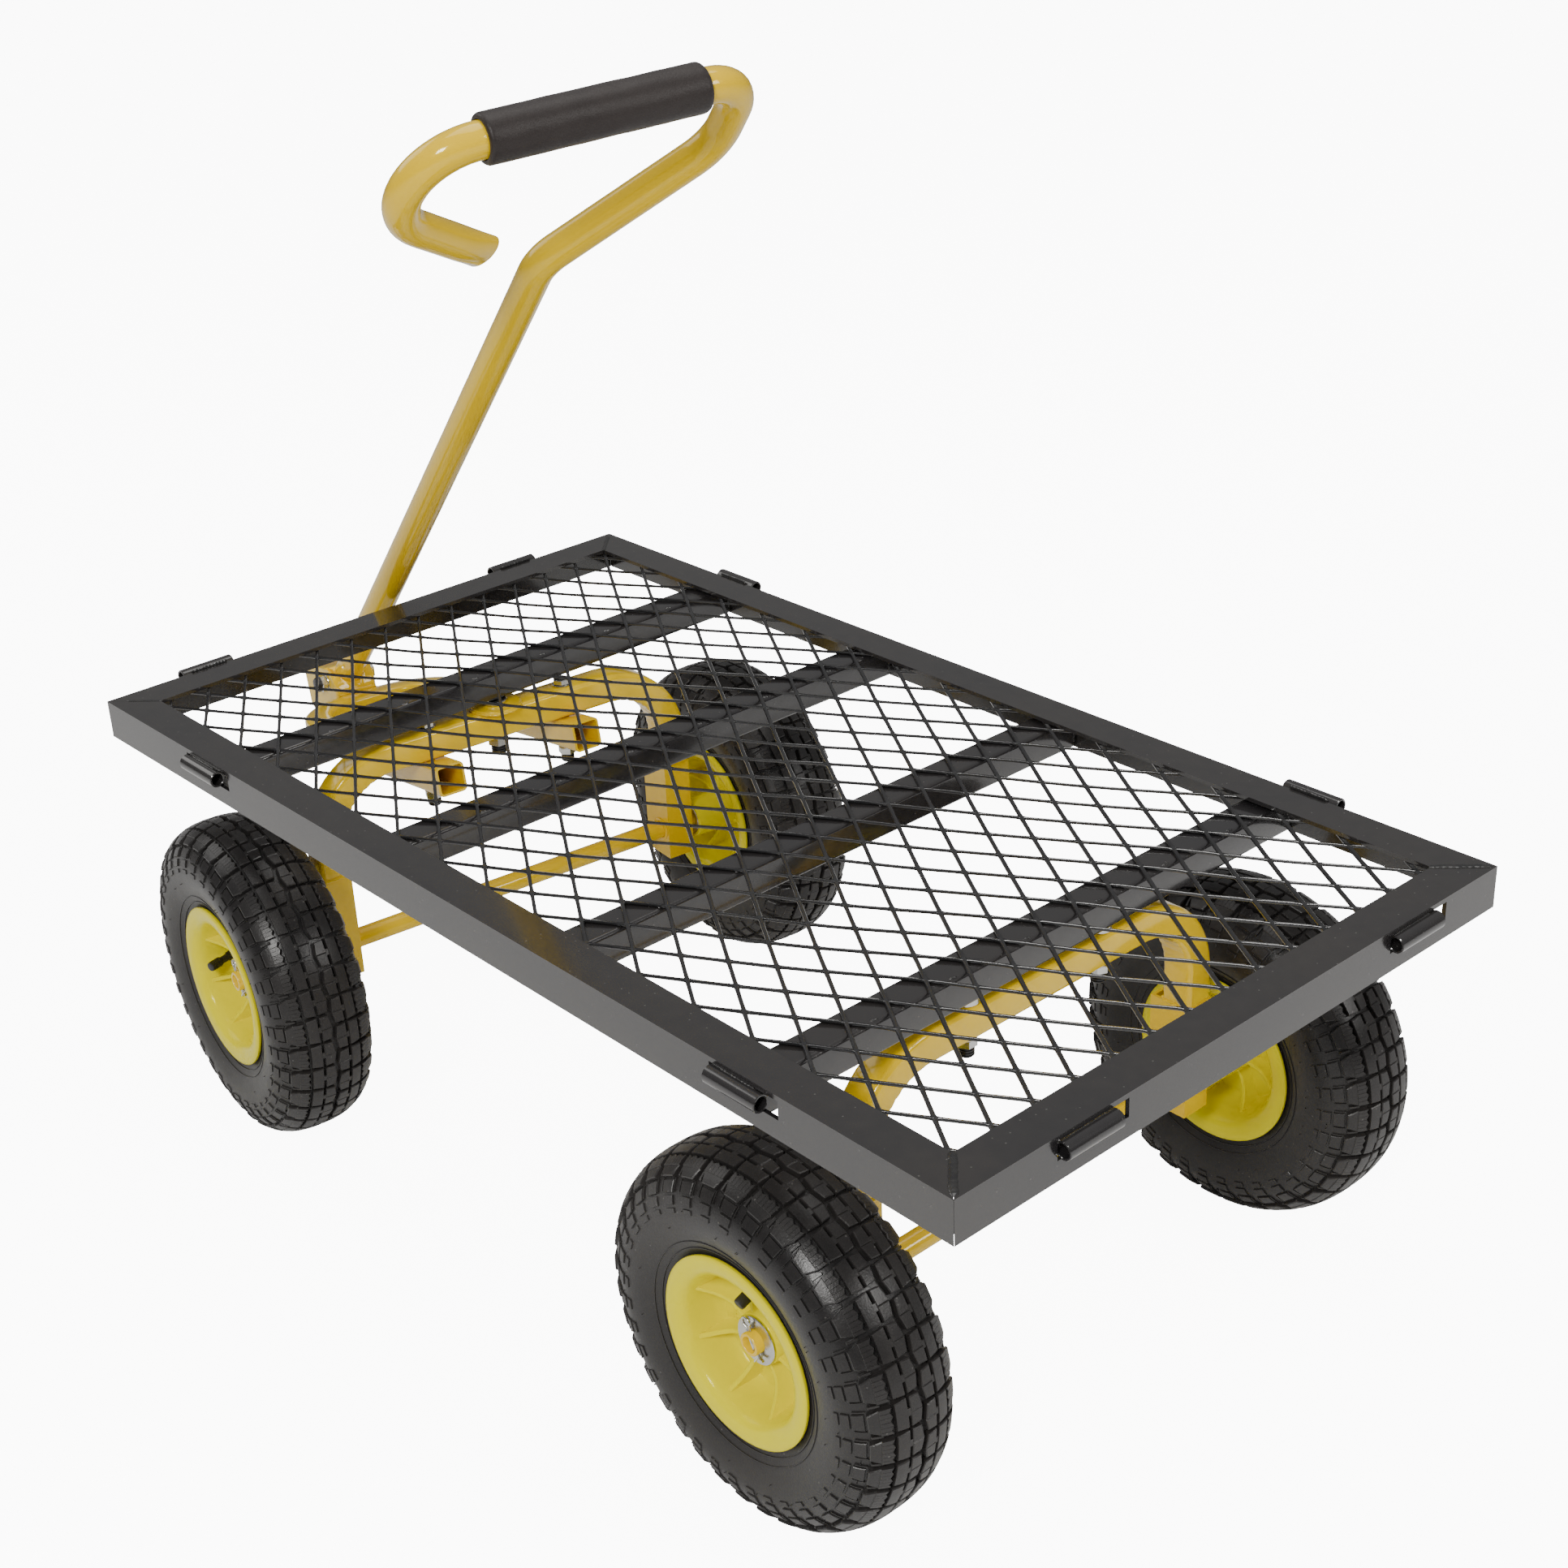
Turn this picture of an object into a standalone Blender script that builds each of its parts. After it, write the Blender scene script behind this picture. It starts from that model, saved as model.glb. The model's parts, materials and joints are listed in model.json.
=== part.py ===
"""Four-wheeled garden cart: steel deck, two axles, steered tongue and pull handle.

Everything is modelled in the cart's own frame first: +X forward, +Y to the cart's left,
+Z up, X = 0 at the middle of the deck and Z = 0 on the ground. The root empty then slides
the whole cart along X so that the origin ends up below the middle of its bounding box.
Sizes are in metres.
"""
import math

import bmesh
import bpy
from mathutils import Matrix, Vector

GAP = 0.0003                    # clearance between two pieces that touch

# deck
DECK_HALF_LENGTH = 0.468
DECK_HALF_WIDTH = 0.2545
DECK_TOP = 0.3316
ANGLE_LEG = 0.0305              # both legs of the rails' angle iron
ANGLE_WALL = 0.003
SLEEVE_RADIUS = 0.0062
SLEEVE_BORE_RADIUS = 0.0046
SLEEVE_LENGTH = 0.046
SLEEVE_PROUD = 0.002            # axis outside the face of the left and rear rails, in a notch
SLEEVE_DROP = 0.010             # and its axis below the deck's top there
OUTER_SLEEVE_PROUD = 0.0065     # on the front and right rails it lies against the face,
OUTER_SLEEVE_DROP = 0.0040      # just above the deck's edge
LONG_RAIL_SLEEVES = (0.317, -0.294)
SHORT_RAIL_SLEEVES = (0.148, -0.162)
MEMBER_SIDE = 0.026
MEMBER_HEIGHT = 0.0245
MEMBER_WALL = 0.0015
MEMBER_END_GAP = 0.0016         # each end stops short of the skirt, clear of the sleeves
MEMBER_PITCH = 0.2005
FIRST_MEMBER_X = 0.3085         # middle of the front cross member
MESH_HALF_PITCH_X = 0.02685     # the diamonds are long in X
MESH_HALF_PITCH_Y = 0.0169
MESH_ROWS = 34                  # half diamonds along the deck
MESH_COLUMNS = 28               # half diamonds across the deck
STRAND = 0.0025
MESH_TOP = DECK_TOP - ANGLE_WALL - GAP
MEMBER_TOP = MESH_TOP - STRAND - GAP

# axles and wheels
WHEEL_RADIUS = 0.130
TYRE_HALF_WIDTH = 0.042
WHEEL_Y = 0.2305                # middle plane of each wheel
REAR_AXLE_X = -0.2898
BRACKET_LEAD = 0.0045           # each bracket's middle ahead of its axle
AXLE_RADIUS = 0.008
AXLE_BORE_RADIUS = 0.0055
AXLE_HALF_LENGTH = 0.2544
SPLIT_PIN_RADIUS = 0.0014
REAR_BOLT_X = REAR_AXLE_X - 0.0030
TUBE_SIDE = 0.025               # square tube of the arches and the tongue
TUBE_WALL = 0.002
ARCH_HALF_SPAN = 0.1625         # middle of each leg
ARCH_BEND = 0.0625
ARCH_TOP = 0.2945
PIVOT_PLATE_TOP = 0.2975
LEG_BOTTOM = 0.1953
BRACKET_DEPTH = 0.034
BRACKET_WIDTH = 0.025
BRACKET_BOTTOM = 0.105
BRACKET_WALL = 0.0025

# steering, tongue and handle
KINGPIN_X = 0.3010
STEER_AT_REST = math.radians(-6.15)
TONGUE_DROP = math.radians(10.5)
TONGUE_HALF_SPAN = 0.0635
TONGUE_REAR = -0.0356
TONGUE_FRONT = 0.2568           # middle of the cross piece
TONGUE_BEND = 0.050
TONGUE_CENTRE_Z = 0.2542        # middle of the tube, straight below the arch
CLEVIS_WALL = 0.004
CLEVIS_HALF_GAP = 0.016
CLEVIS_LENGTH = 0.0664
CLEVIS_TOP = 0.036
CLEVIS_WEB_TOP = 0.019
PIVOT_U = 0.2907                # handle pivot, along and above the tongue
PIVOT_W = 0.0232
HANDLE_LEAN = math.radians(43.0)
HANDLE_RADIUS = 0.0125
HANDLE_BORE_RADIUS = 0.0110
HANDLE_TAIL = 0.010             # tube below the pivot
PIN_RADIUS = 0.005
GRIP_RADIUS = 0.0172
GRIP_RIGHT_END = (-0.0680, 0.79747)   # to the left of the pivot, and along the shaft from it
GRIP_LEFT_END = (0.0940, 0.78161)

TYRE_SEGMENTS = 28
RIM_SEGMENTS = 24

# where each valve stem stands at rest, turned about the wheel's own outward axis
VALVE_TURN = {"wheel_rear_left": math.radians(-90), "wheel_front_left": math.radians(0),
              "wheel_rear_right": math.radians(45), "wheel_front_right": math.radians(180)}


def clear_scene():
    for obj in list(bpy.data.objects):
        bpy.data.objects.remove(obj, do_unlink=True)


def make_material(name, colour, roughness, metallic=0.0):
    material = bpy.data.materials.new(name)
    material.use_nodes = True
    shader = material.node_tree.nodes["Principled BSDF"]
    shader.inputs["Base Color"].default_value = (*colour, 1.0)
    shader.inputs["Roughness"].default_value = roughness
    shader.inputs["Metallic"].default_value = metallic
    return material


def make_empty(name, location=(0, 0, 0), rotation=(0, 0, 0), parent=None):
    empty = bpy.data.objects.new(name, None)
    empty.location = location
    empty.rotation_euler = rotation
    empty.parent = parent
    bpy.context.scene.collection.objects.link(empty)
    return empty


def make_object(name, bm, material, parent, location=(0, 0, 0), rotation=(0, 0, 0), smooth=None):
    """Turn a bmesh into a named object; smooth is the sharp-edge angle in degrees."""
    bmesh.ops.recalc_face_normals(bm, faces=bm.faces)
    mesh = bpy.data.meshes.new(name)
    bm.to_mesh(mesh)
    bm.free()
    if smooth is not None:
        mesh.shade_smooth()
        mesh.set_sharp_from_angle(angle=math.radians(smooth))
    obj = bpy.data.objects.new(name, mesh)
    if material is not None:
        mesh.materials.append(material)
    obj.location = location
    obj.rotation_euler = rotation
    obj.parent = parent
    bpy.context.scene.collection.objects.link(obj)
    return obj


def cut(obj, cutters):
    """Take each cutter out of obj with a Boolean; the cutters stay as hidden wires."""
    for cutter in cutters:
        cutter.hide_render = True
        cutter.display_type = 'WIRE'
        modifier = obj.modifiers.new(cutter.name, 'BOOLEAN')
        modifier.operation = 'DIFFERENCE'
        modifier.object = cutter
        modifier.solver = 'EXACT'


def join_into(obj, addition):
    """Weld a second shape onto obj with a Boolean union."""
    addition.hide_render = True
    addition.display_type = 'WIRE'
    modifier = obj.modifiers.new("weld", 'BOOLEAN')
    modifier.operation = 'UNION'
    modifier.object = addition
    modifier.solver = 'EXACT'


def box(bm, low, high):
    """Add a box between two corners."""
    size = Vector(high) - Vector(low)
    middle = (Vector(high) + Vector(low)) / 2
    bmesh.ops.create_cube(bm, size=1.0, matrix=Matrix.Translation(middle) @ Matrix.Diagonal((*size, 1)))


def loft(bm, rings, closed=False):
    """Skin a list of equal vertex rings; open ends get caps, closed ones meet."""
    layers = [[bm.verts.new(point) for point in ring] for ring in rings]
    pairs = list(zip(layers, layers[1:]))
    if closed:
        pairs.append((layers[-1], layers[0]))
    for first, second in pairs:
        for i in range(len(first)):
            j = (i + 1) % len(first)
            bm.faces.new((first[i], first[j], second[j], second[i]))
    return layers


def capped_loft(bm, rings):
    layers = loft(bm, rings)
    bm.faces.new(layers[0])
    bm.faces.new(layers[-1])


def hollow_loft(bm, outer_rings, inner_rings):
    """A tube wall: outer and inner skins joined by a rim at each end."""
    outer = loft(bm, outer_rings)
    inner = loft(bm, inner_rings)
    for end in (0, -1):
        a, b = outer[end], inner[end]
        for i in range(len(a)):
            j = (i + 1) % len(a)
            bm.faces.new((a[i], a[j], b[j], b[i]))


def revolve(bm, profile, segments, closed_profile=True):
    """Turn (radius, y) points about the Y axis, with a point straight below the axis."""
    rings = []
    for step in range(segments):
        angle = 2 * math.pi * step / segments
        across = Vector((math.sin(angle), 0, -math.cos(angle)))
        rings.append([across * radius + Vector((0, y, 0)) for radius, y in profile])
    if closed_profile:
        loft(bm, rings, closed=True)
        return
    layers = [[bm.verts.new(point) for point in ring] for ring in rings]
    for first, second in zip(layers, layers[1:] + layers[:1]):
        for i in range(len(profile) - 1):
            bm.faces.new((first[i], first[i + 1], second[i + 1], second[i]))
    bm.faces.new([layer[0] for layer in layers])
    bm.faces.new([layer[-1] for layer in layers])


def rod(bm, radius, start, end, segments=16):
    """A solid round bar between two points."""
    start, end = Vector(start), Vector(end)
    turn = (end - start).to_track_quat('Z', 'Y').to_matrix().to_4x4()
    matrix = Matrix.Translation((start + end) / 2) @ turn
    bmesh.ops.create_cone(bm, cap_ends=True, segments=segments, radius1=radius, radius2=radius,
                          depth=(end - start).length, matrix=matrix)


def hole(name, radius, start, end, parent, segments=16):
    bm = bmesh.new()
    rod(bm, radius, start, end, segments)
    return make_object(name, bm, None, parent)


def rounded_path(corners, radius, steps=6):
    """Centre line through 2D corners, each inner corner an arc of one shared or its own radius."""
    radii = radius if isinstance(radius, tuple) else (radius,) * (len(corners) - 2)
    points = [Vector(corners[0])]
    for before, corner, after, bend in zip(corners, corners[1:], corners[2:], radii):
        corner = Vector(corner)
        back = (Vector(before) - corner).normalized()
        ahead = (Vector(after) - corner).normalized()
        half = back.angle(ahead) / 2
        setback = bend / math.tan(half)
        centre = corner + (back + ahead).normalized() * (bend / math.sin(half))
        first = corner + back * setback - centre
        last = corner + ahead * setback - centre
        sweep = first.angle_signed(last)
        for step in range(steps + 1):
            points.append(centre + Matrix.Rotation(-sweep * step / steps, 2) @ first)
    points.append(Vector(corners[-1]))
    return points


def path_frames(points):
    """Position and in-plane normal of the mitre at each point of a 2D path."""
    frames = []
    for i, point in enumerate(points):
        before = (point - points[i - 1]).normalized() if i > 0 else None
        after = (points[i + 1] - point).normalized() if i < len(points) - 1 else None
        along = ((before or after) + (after or before)).normalized()
        normal = Vector((-along.y, along.x))
        widen = 1.0 / max(0.5, along.dot(after or before))
        frames.append((point, normal * widen))
    return frames


def square_rings(points, side, place):
    """Rings of a square section swept along a 2D path; place maps (a, b, depth) to 3D."""
    half = side / 2
    rings = []
    for point, normal in path_frames(points):
        inner, outer = point - normal * half, point + normal * half
        rings.append([place(outer.x, outer.y, half), place(inner.x, inner.y, half),
                      place(inner.x, inner.y, -half), place(outer.x, outer.y, -half)])
    return rings


def square_tube(bm, points, place):
    hollow_loft(bm, square_rings(points, TUBE_SIDE, place),
                square_rings(points, TUBE_SIDE - 2 * TUBE_WALL, place))


def sleeve_notch(name, middle, parent):
    """Slot in a rail's skirt behind one sleeve, longer at the sleeve's rear end."""
    bm = bmesh.new()
    half = SLEEVE_LENGTH / 2
    box(bm, (middle - half - 0.012, -ANGLE_WALL - 0.001, DECK_TOP - SLEEVE_DROP - SLEEVE_RADIUS - GAP),
        (middle + half + 0.002, 0.001, DECK_TOP - ANGLE_WALL - 0.0005))
    return make_object(name, bm, None, parent)


def rail(name, half_length, sleeves, notched, origin, material, sleeve_material):
    """Angle-iron rail with mitred ends, along its own X, its outer face at Y = 0."""
    profile = [(0, 0), (0, -ANGLE_LEG), (ANGLE_WALL, -ANGLE_LEG),
               (ANGLE_WALL, -ANGLE_WALL), (ANGLE_LEG, -ANGLE_WALL), (ANGLE_LEG, 0)]
    rings = []
    for end in (-1, 1):
        rings.append([Vector((end * (half_length - inward - GAP / 2), -inward, DECK_TOP + drop))
                      for inward, drop in profile])
    bm = bmesh.new()
    capped_loft(bm, rings)
    bar = make_object(name, bm, material, origin)
    if notched:
        cut(bar, [sleeve_notch(f"{name}_notch_{n}", x, origin) for n, x in enumerate(sleeves)])
    proud = SLEEVE_PROUD if notched else OUTER_SLEEVE_PROUD
    drop = SLEEVE_DROP if notched else OUTER_SLEEVE_DROP
    side = name.replace("rail_", "")
    for number, x in enumerate(sleeves, start=1):
        bm = bmesh.new()
        half = SLEEVE_LENGTH / 2
        revolve(bm, [(SLEEVE_RADIUS, -half), (SLEEVE_RADIUS, half),
                     (SLEEVE_BORE_RADIUS, half), (SLEEVE_BORE_RADIUS, -half)], 12)
        make_object(f"panel_sleeve_{side}_{number}", bm, sleeve_material, origin,
                    location=(x, proud, DECK_TOP - drop),
                    rotation=(0, 0, math.pi / 2), smooth=40)


def build_rails(cart, material, sleeve_material):
    quarter = math.pi / 2
    layout = (("rail_left", DECK_HALF_LENGTH, LONG_RAIL_SLEEVES, True, (0, DECK_HALF_WIDTH), 0),
              ("rail_right", DECK_HALF_LENGTH, LONG_RAIL_SLEEVES, False, (0, -DECK_HALF_WIDTH), 2 * quarter),
              ("rail_front", DECK_HALF_WIDTH, SHORT_RAIL_SLEEVES, False, (DECK_HALF_LENGTH, 0), -quarter),
              ("rail_rear", DECK_HALF_WIDTH, SHORT_RAIL_SLEEVES, True, (-DECK_HALF_LENGTH, 0), quarter))
    for name, half_length, sleeves, notched, (x, y), turn in layout:
        origin = make_empty(f"{name}_origin", (x, y, 0), (0, 0, turn), cart)
        rail(name, half_length, sleeves, notched, origin, material, sleeve_material)


def build_cross_members(cart, material):
    """Four open-ended square tubes under the mesh."""
    half_length = DECK_HALF_WIDTH - ANGLE_WALL - MEMBER_END_GAP
    inner_width = MEMBER_SIDE / 2 - MEMBER_WALL
    for number in range(4):
        x = FIRST_MEMBER_X - number * MEMBER_PITCH
        outer, inner = [], []
        for y in (-half_length, half_length):
            outer.append([Vector((x + a * MEMBER_SIDE / 2, y, MEMBER_TOP - (0.5 - b / 2) * MEMBER_HEIGHT))
                          for a, b in ((-1, -1), (1, -1), (1, 1), (-1, 1))])
            inner.append([Vector((x + a * inner_width, y,
                                  MEMBER_TOP - MEMBER_HEIGHT / 2 + b * (MEMBER_HEIGHT / 2 - MEMBER_WALL)))
                          for a, b in ((-1, -1), (1, -1), (1, 1), (-1, 1))])
        bm = bmesh.new()
        hollow_loft(bm, outer, inner)
        make_object(f"crossmember_{number + 1}", bm, material, cart)


def build_mesh(cart, material):
    """Expanded-metal sheet: a node where strands meet, and a strand to each neighbour."""
    slope = math.atan2(MESH_HALF_PITCH_Y, MESH_HALF_PITCH_X)
    node_x = STRAND / 2 / math.sin(slope)
    node_y = STRAND / 2 / math.cos(slope)
    first_x = -MESH_HALF_PITCH_X * MESH_ROWS / 2
    first_y = -MESH_HALF_PITCH_Y * MESH_COLUMNS / 2
    bm = bmesh.new()
    nodes = {}
    for i in range(MESH_ROWS + 1):
        for j in range(i % 2, MESH_COLUMNS + 1, 2):
            x, y = first_x + i * MESH_HALF_PITCH_X, first_y + j * MESH_HALF_PITCH_Y
            corners = [bm.verts.new((x + a * node_x, y + b * node_y, MESH_TOP))
                       for a, b in ((1, 0), (0, 1), (-1, 0), (0, -1))]
            bm.faces.new(corners)
            nodes[i, j] = corners
    for (i, j), (ahead, left, _, right) in nodes.items():
        if (i + 1, j + 1) in nodes:
            _, _, behind, low = nodes[i + 1, j + 1]
            bm.faces.new((ahead, low, behind, left))
        if (i + 1, j - 1) in nodes:
            _, high, behind, _ = nodes[i + 1, j - 1]
            bm.faces.new((ahead, right, behind, high))
    sheet = bmesh.ops.extrude_face_region(bm, geom=bm.faces[:])
    lowered = [item for item in sheet["geom"] if isinstance(item, bmesh.types.BMVert)]
    bmesh.ops.translate(bm, verts=lowered, vec=(0, 0, -STRAND))
    make_object("deck_mesh", bm, material, cart)


def build_arch(name, parent, arch_x, bolt_offset, middle_hole, material):
    """Square tube bent into an inverted U, with a vertical hole for each bolt."""
    centre_z = ARCH_TOP - TUBE_SIDE / 2
    corners = [(-ARCH_HALF_SPAN, LEG_BOTTOM), (-ARCH_HALF_SPAN, centre_z),
               (ARCH_HALF_SPAN, centre_z), (ARCH_HALF_SPAN, LEG_BOTTOM)]
    bm = bmesh.new()
    square_tube(bm, rounded_path(corners, ARCH_BEND, 5), lambda y, z, depth: Vector((arch_x + depth, y, z)))
    arch = make_object(name, bm, material, parent, smooth=35)
    spots = [(side * TONGUE_HALF_SPAN, 0.0045) for side in (-1, 1)]
    if middle_hole:
        spots.append((0, 0.0055))
    x = arch_x + bolt_offset
    cut(arch, [hole(f"{name}_hole_{n}", radius, (x, y, ARCH_TOP - TUBE_SIDE - 0.002),
                    (x, y, ARCH_TOP + 0.002), parent) for n, (y, radius) in enumerate(spots)])


def build_bracket(name, parent, axle_x, side, material):
    """Box section below an arch's leg, with the axle through both of its side walls."""
    rings = []
    middle = axle_x + BRACKET_LEAD
    for wall in (0, BRACKET_WALL):
        half_x, half_y = BRACKET_DEPTH / 2 - wall, BRACKET_WIDTH / 2 - wall
        rings.append([[Vector((middle + a * half_x, side * ARCH_HALF_SPAN + b * half_y, z))
                       for a, b in ((-1, -1), (1, -1), (1, 1), (-1, 1))]
                      for z in (BRACKET_BOTTOM, LEG_BOTTOM - GAP)])
    bm = bmesh.new()
    hollow_loft(bm, *rings)
    bracket = make_object(name, bm, material, parent)
    near, far = side * (ARCH_HALF_SPAN - 0.02), side * (ARCH_HALF_SPAN + 0.02)
    cut(bracket, [hole(f"{name}_hole", AXLE_RADIUS + GAP, (axle_x, near, WHEEL_RADIUS),
                       (axle_x, far, WHEEL_RADIUS), parent, 16)])


def build_axle(prefix, parent, axle_x, steel, zinc):
    """Tube through both brackets, with a washer and a split pin outside each wheel."""
    bm = bmesh.new()
    revolve(bm, [(AXLE_RADIUS, -AXLE_HALF_LENGTH), (AXLE_RADIUS, AXLE_HALF_LENGTH),
                 (AXLE_BORE_RADIUS, AXLE_HALF_LENGTH), (AXLE_BORE_RADIUS, -AXLE_HALF_LENGTH)], 16)
    axle = make_object(f"{prefix}_axle", bm, steel, parent, location=(axle_x, 0, WHEEL_RADIUS), smooth=35)
    pin_y = AXLE_HALF_LENGTH - 0.0036
    cut(axle, [hole(f"{prefix}_axle_pin_hole_{side}", 0.0019, (axle_x, side * pin_y, WHEEL_RADIUS - 0.012),
                    (axle_x, side * pin_y, WHEEL_RADIUS + 0.012), parent, 8) for side in (-1, 1)])
    washer = ((0.0170, 0), (0.0170, 0.0016), (AXLE_RADIUS + GAP, 0.0016), (AXLE_RADIUS + GAP, 0))
    for side, word in ((1, "left"), (-1, "right")):
        bm = bmesh.new()
        revolve(bm, washer, 24)
        inner = AXLE_HALF_LENGTH - 0.0075
        make_object(f"{prefix}_axle_washer_{word}", bm, zinc, parent, smooth=35,
                    location=(axle_x, side * inner - (0.0016 if side < 0 else 0), WHEEL_RADIUS))
        bm = bmesh.new()
        rod(bm, SPLIT_PIN_RADIUS, (axle_x, side * pin_y, WHEEL_RADIUS - 0.0145),
            (axle_x, side * pin_y, WHEEL_RADIUS + 0.0125), 6)
        make_object(f"{prefix}_split_pin_{word}", bm, zinc, parent, smooth=40)


def round_rings(points, radius, segments, place, depth_axis, squash=None):
    """Round rings along a 2D path; squash gives each its (in-plane, across) scale."""
    rings = []
    for number, (point, normal) in enumerate(path_frames(points)):
        flat, wide = squash(number) if squash else (1.0, 1.0)
        ring = []
        for step in range(segments):
            angle = 2 * math.pi * (step + 0.5) / segments
            spot = point + normal * (radius * wide * math.cos(angle))
            ring.append(place(spot.x, spot.y) + depth_axis * (radius * flat * math.sin(angle)))
        rings.append(ring)
    return rings


def tyre_profile():
    """Solid tyre section from one bead round the tread to the other, about Y = 0."""
    half = [(0.0548, 0.0293), (0.0664, 0.0326), (0.0800, 0.0400), (0.1010, TYRE_HALF_WIDTH),
            (0.1235, 0.0345), (WHEEL_RADIUS, 0.0190)]
    return half + [(radius, -y) for radius, y in reversed(half)]


def rim_profile():
    """Rim section: two lips, bead seats, a middle disc and a long hub."""
    return [(0.0660, 0.0365), (0.0660, 0.0332), (0.0530, 0.0293), (0.0530, -0.0293),
            (0.0660, -0.0332), (0.0660, -0.0365), (0.0600, -0.0365), (0.0480, -0.0270), (0.0465, -0.0020),
            (0.0180, -0.0020), (0.0165, -0.0500), (0.0084, -0.0500), (0.0084, 0.0160), (0.0165, 0.0160),
            (0.0180, 0.0020), (0.0465, 0.0020), (0.0480, 0.0270), (0.0600, 0.0365)]


def rim_ribs(name, parent, rotation):
    """Eight tapering ribs on the rim's outer side, between hub and barrel."""
    bm = bmesh.new()
    for number in range(8):
        turn = Matrix.Rotation(2 * math.pi * (number + 0.5) / 8, 4, 'Y')
        outline = [(0.0175, 0.0), (0.0175, 0.0135), (0.0482, 0.0225), (0.0482, 0.0)]
        rings = [[turn @ Vector((r, y, across)) for r, y in outline] for across in (-0.0018, 0.0018)]
        capped_loft(bm, rings)
    return make_object(name, bm, None, parent, rotation=rotation)


def build_wheel(name, parent, x, side, tyre_material, rim_material, stem_material):
    spin = make_empty(f"{name}_spin", (x, side * WHEEL_Y, WHEEL_RADIUS), parent=parent)
    outward = (0, 0, 0 if side > 0 else math.pi)
    bm = bmesh.new()
    revolve(bm, tyre_profile(), TYRE_SEGMENTS)
    make_object(f"{name}_tyre", bm, tyre_material, spin, smooth=50)
    bm = bmesh.new()
    revolve(bm, rim_profile(), RIM_SEGMENTS)
    rim = make_object(f"{name}_rim", bm, rim_material, spin, rotation=outward, smooth=35)
    join_into(rim, rim_ribs(f"{name}_ribs", spin, outward))
    bm = bmesh.new()
    lean = Vector((-0.35, 0.94, 0)).normalized()
    foot = Vector((0.0420, 0.0105, 0))
    rod(bm, 0.0036, foot, foot + lean * 0.022, 10)
    bmesh.ops.rotate(bm, verts=bm.verts[:], matrix=Matrix.Rotation(VALVE_TURN[name], 3, 'Y'))
    make_object(f"{name}_valve_stem", bm, stem_material, spin, rotation=outward, smooth=40)


def threaded_fastener(name, parent, origin, shank, top, nut, cap, material):
    """Upright bolt or stud: a head or collar (radius, top, bottom), then nut and thread cap below."""
    top_radius, top_z, shoulder_z = top
    nut_z, nut_radius, nut_height = nut
    cap_radius, cap_height = cap
    nut_bottom = nut_z - nut_height
    outline = [(top_radius, top_z), (top_radius, shoulder_z), (shank, shoulder_z), (shank, nut_z),
               (nut_radius, nut_z), (nut_radius, nut_bottom), (cap_radius, nut_bottom),
               (cap_radius, nut_bottom - cap_height)]
    bm = bmesh.new()
    revolve(bm, [(radius, -z) for radius, z in outline], 12, closed_profile=False)
    make_object(name, bm, material, parent, location=origin, rotation=(-math.pi / 2, 0, 0), smooth=35)


def build_tongue(tilt, steel, zinc):
    """U-shaped square tube that drops forward, with a strap clevis on its front."""
    corners = [(TONGUE_REAR, TONGUE_HALF_SPAN), (TONGUE_FRONT, TONGUE_HALF_SPAN),
               (TONGUE_FRONT, -TONGUE_HALF_SPAN), (TONGUE_REAR, -TONGUE_HALF_SPAN)]
    bm = bmesh.new()
    square_tube(bm, rounded_path(corners, TONGUE_BEND, 5), lambda u, v, w: Vector((u, v, w)))
    tongue = make_object("tongue_tube", bm, steel, tilt, smooth=35)
    up = Vector((-math.sin(TONGUE_DROP), 0, math.cos(TONGUE_DROP))) * 0.03
    for side in (-1, 1):
        foot = Vector((0, side * TONGUE_HALF_SPAN, 0))
        cut(tongue, [hole(f"tongue_hole_{side}", 0.0048, foot - up, foot + up, tilt)])

    back = TONGUE_FRONT + TUBE_SIDE / 2 + GAP
    outer, inner = CLEVIS_HALF_GAP + CLEVIS_WALL, CLEVIS_HALF_GAP
    plan = [(back + CLEVIS_LENGTH, outer), (back, outer), (back, -outer), (back + CLEVIS_LENGTH, -outer),
            (back + CLEVIS_LENGTH, -inner), (back + CLEVIS_WALL, -inner), (back + CLEVIS_WALL, inner),
            (back + CLEVIS_LENGTH, inner)]
    bm = bmesh.new()
    capped_loft(bm, [[Vector((u, v, w)) for u, v in plan] for w in (-TUBE_SIDE / 2, CLEVIS_TOP)])
    clevis = make_object("tongue_clevis", bm, steel, tilt)
    bm = bmesh.new()
    box(bm, (back - 0.002, -inner - 0.0001, CLEVIS_WEB_TOP),
        (back + CLEVIS_WALL + 0.001, inner + 0.0001, 0.05))
    saddle = make_object("clevis_saddle", bm, None, tilt)
    bore = hole("clevis_bore", PIN_RADIUS + GAP, (PIVOT_U, -0.03, PIVOT_W), (PIVOT_U, 0.03, PIVOT_W), tilt)
    cut(clevis, [saddle, bore])

    bm = bmesh.new()
    outline = [(0.0085, -0.0265), (0.0085, -0.0203), (PIN_RADIUS, -0.0203), (PIN_RADIUS, 0.0203),
               (0.0085, 0.0203), (0.0085, 0.0290), (0.0060, 0.0310)]
    revolve(bm, outline, 16, closed_profile=False)
    make_object("handle_pin", bm, zinc, tilt, location=(PIVOT_U, 0, PIVOT_W), smooth=35)


def build_tongue_bolts(steering, zinc):
    head_bottom = ARCH_TOP + GAP
    under = TONGUE_CENTRE_Z - TUBE_SIDE / 2 - 0.0024
    for side, word in ((1, "left"), (-1, "right")):
        threaded_fastener(f"tongue_bolt_{word}", steering, (0, side * TONGUE_HALF_SPAN, 0), 0.0040,
                          (0.0075, head_bottom + 0.0056, head_bottom), (under, 0.0078, 0.0070),
                          (0.0055, 0.0075), zinc)


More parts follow.
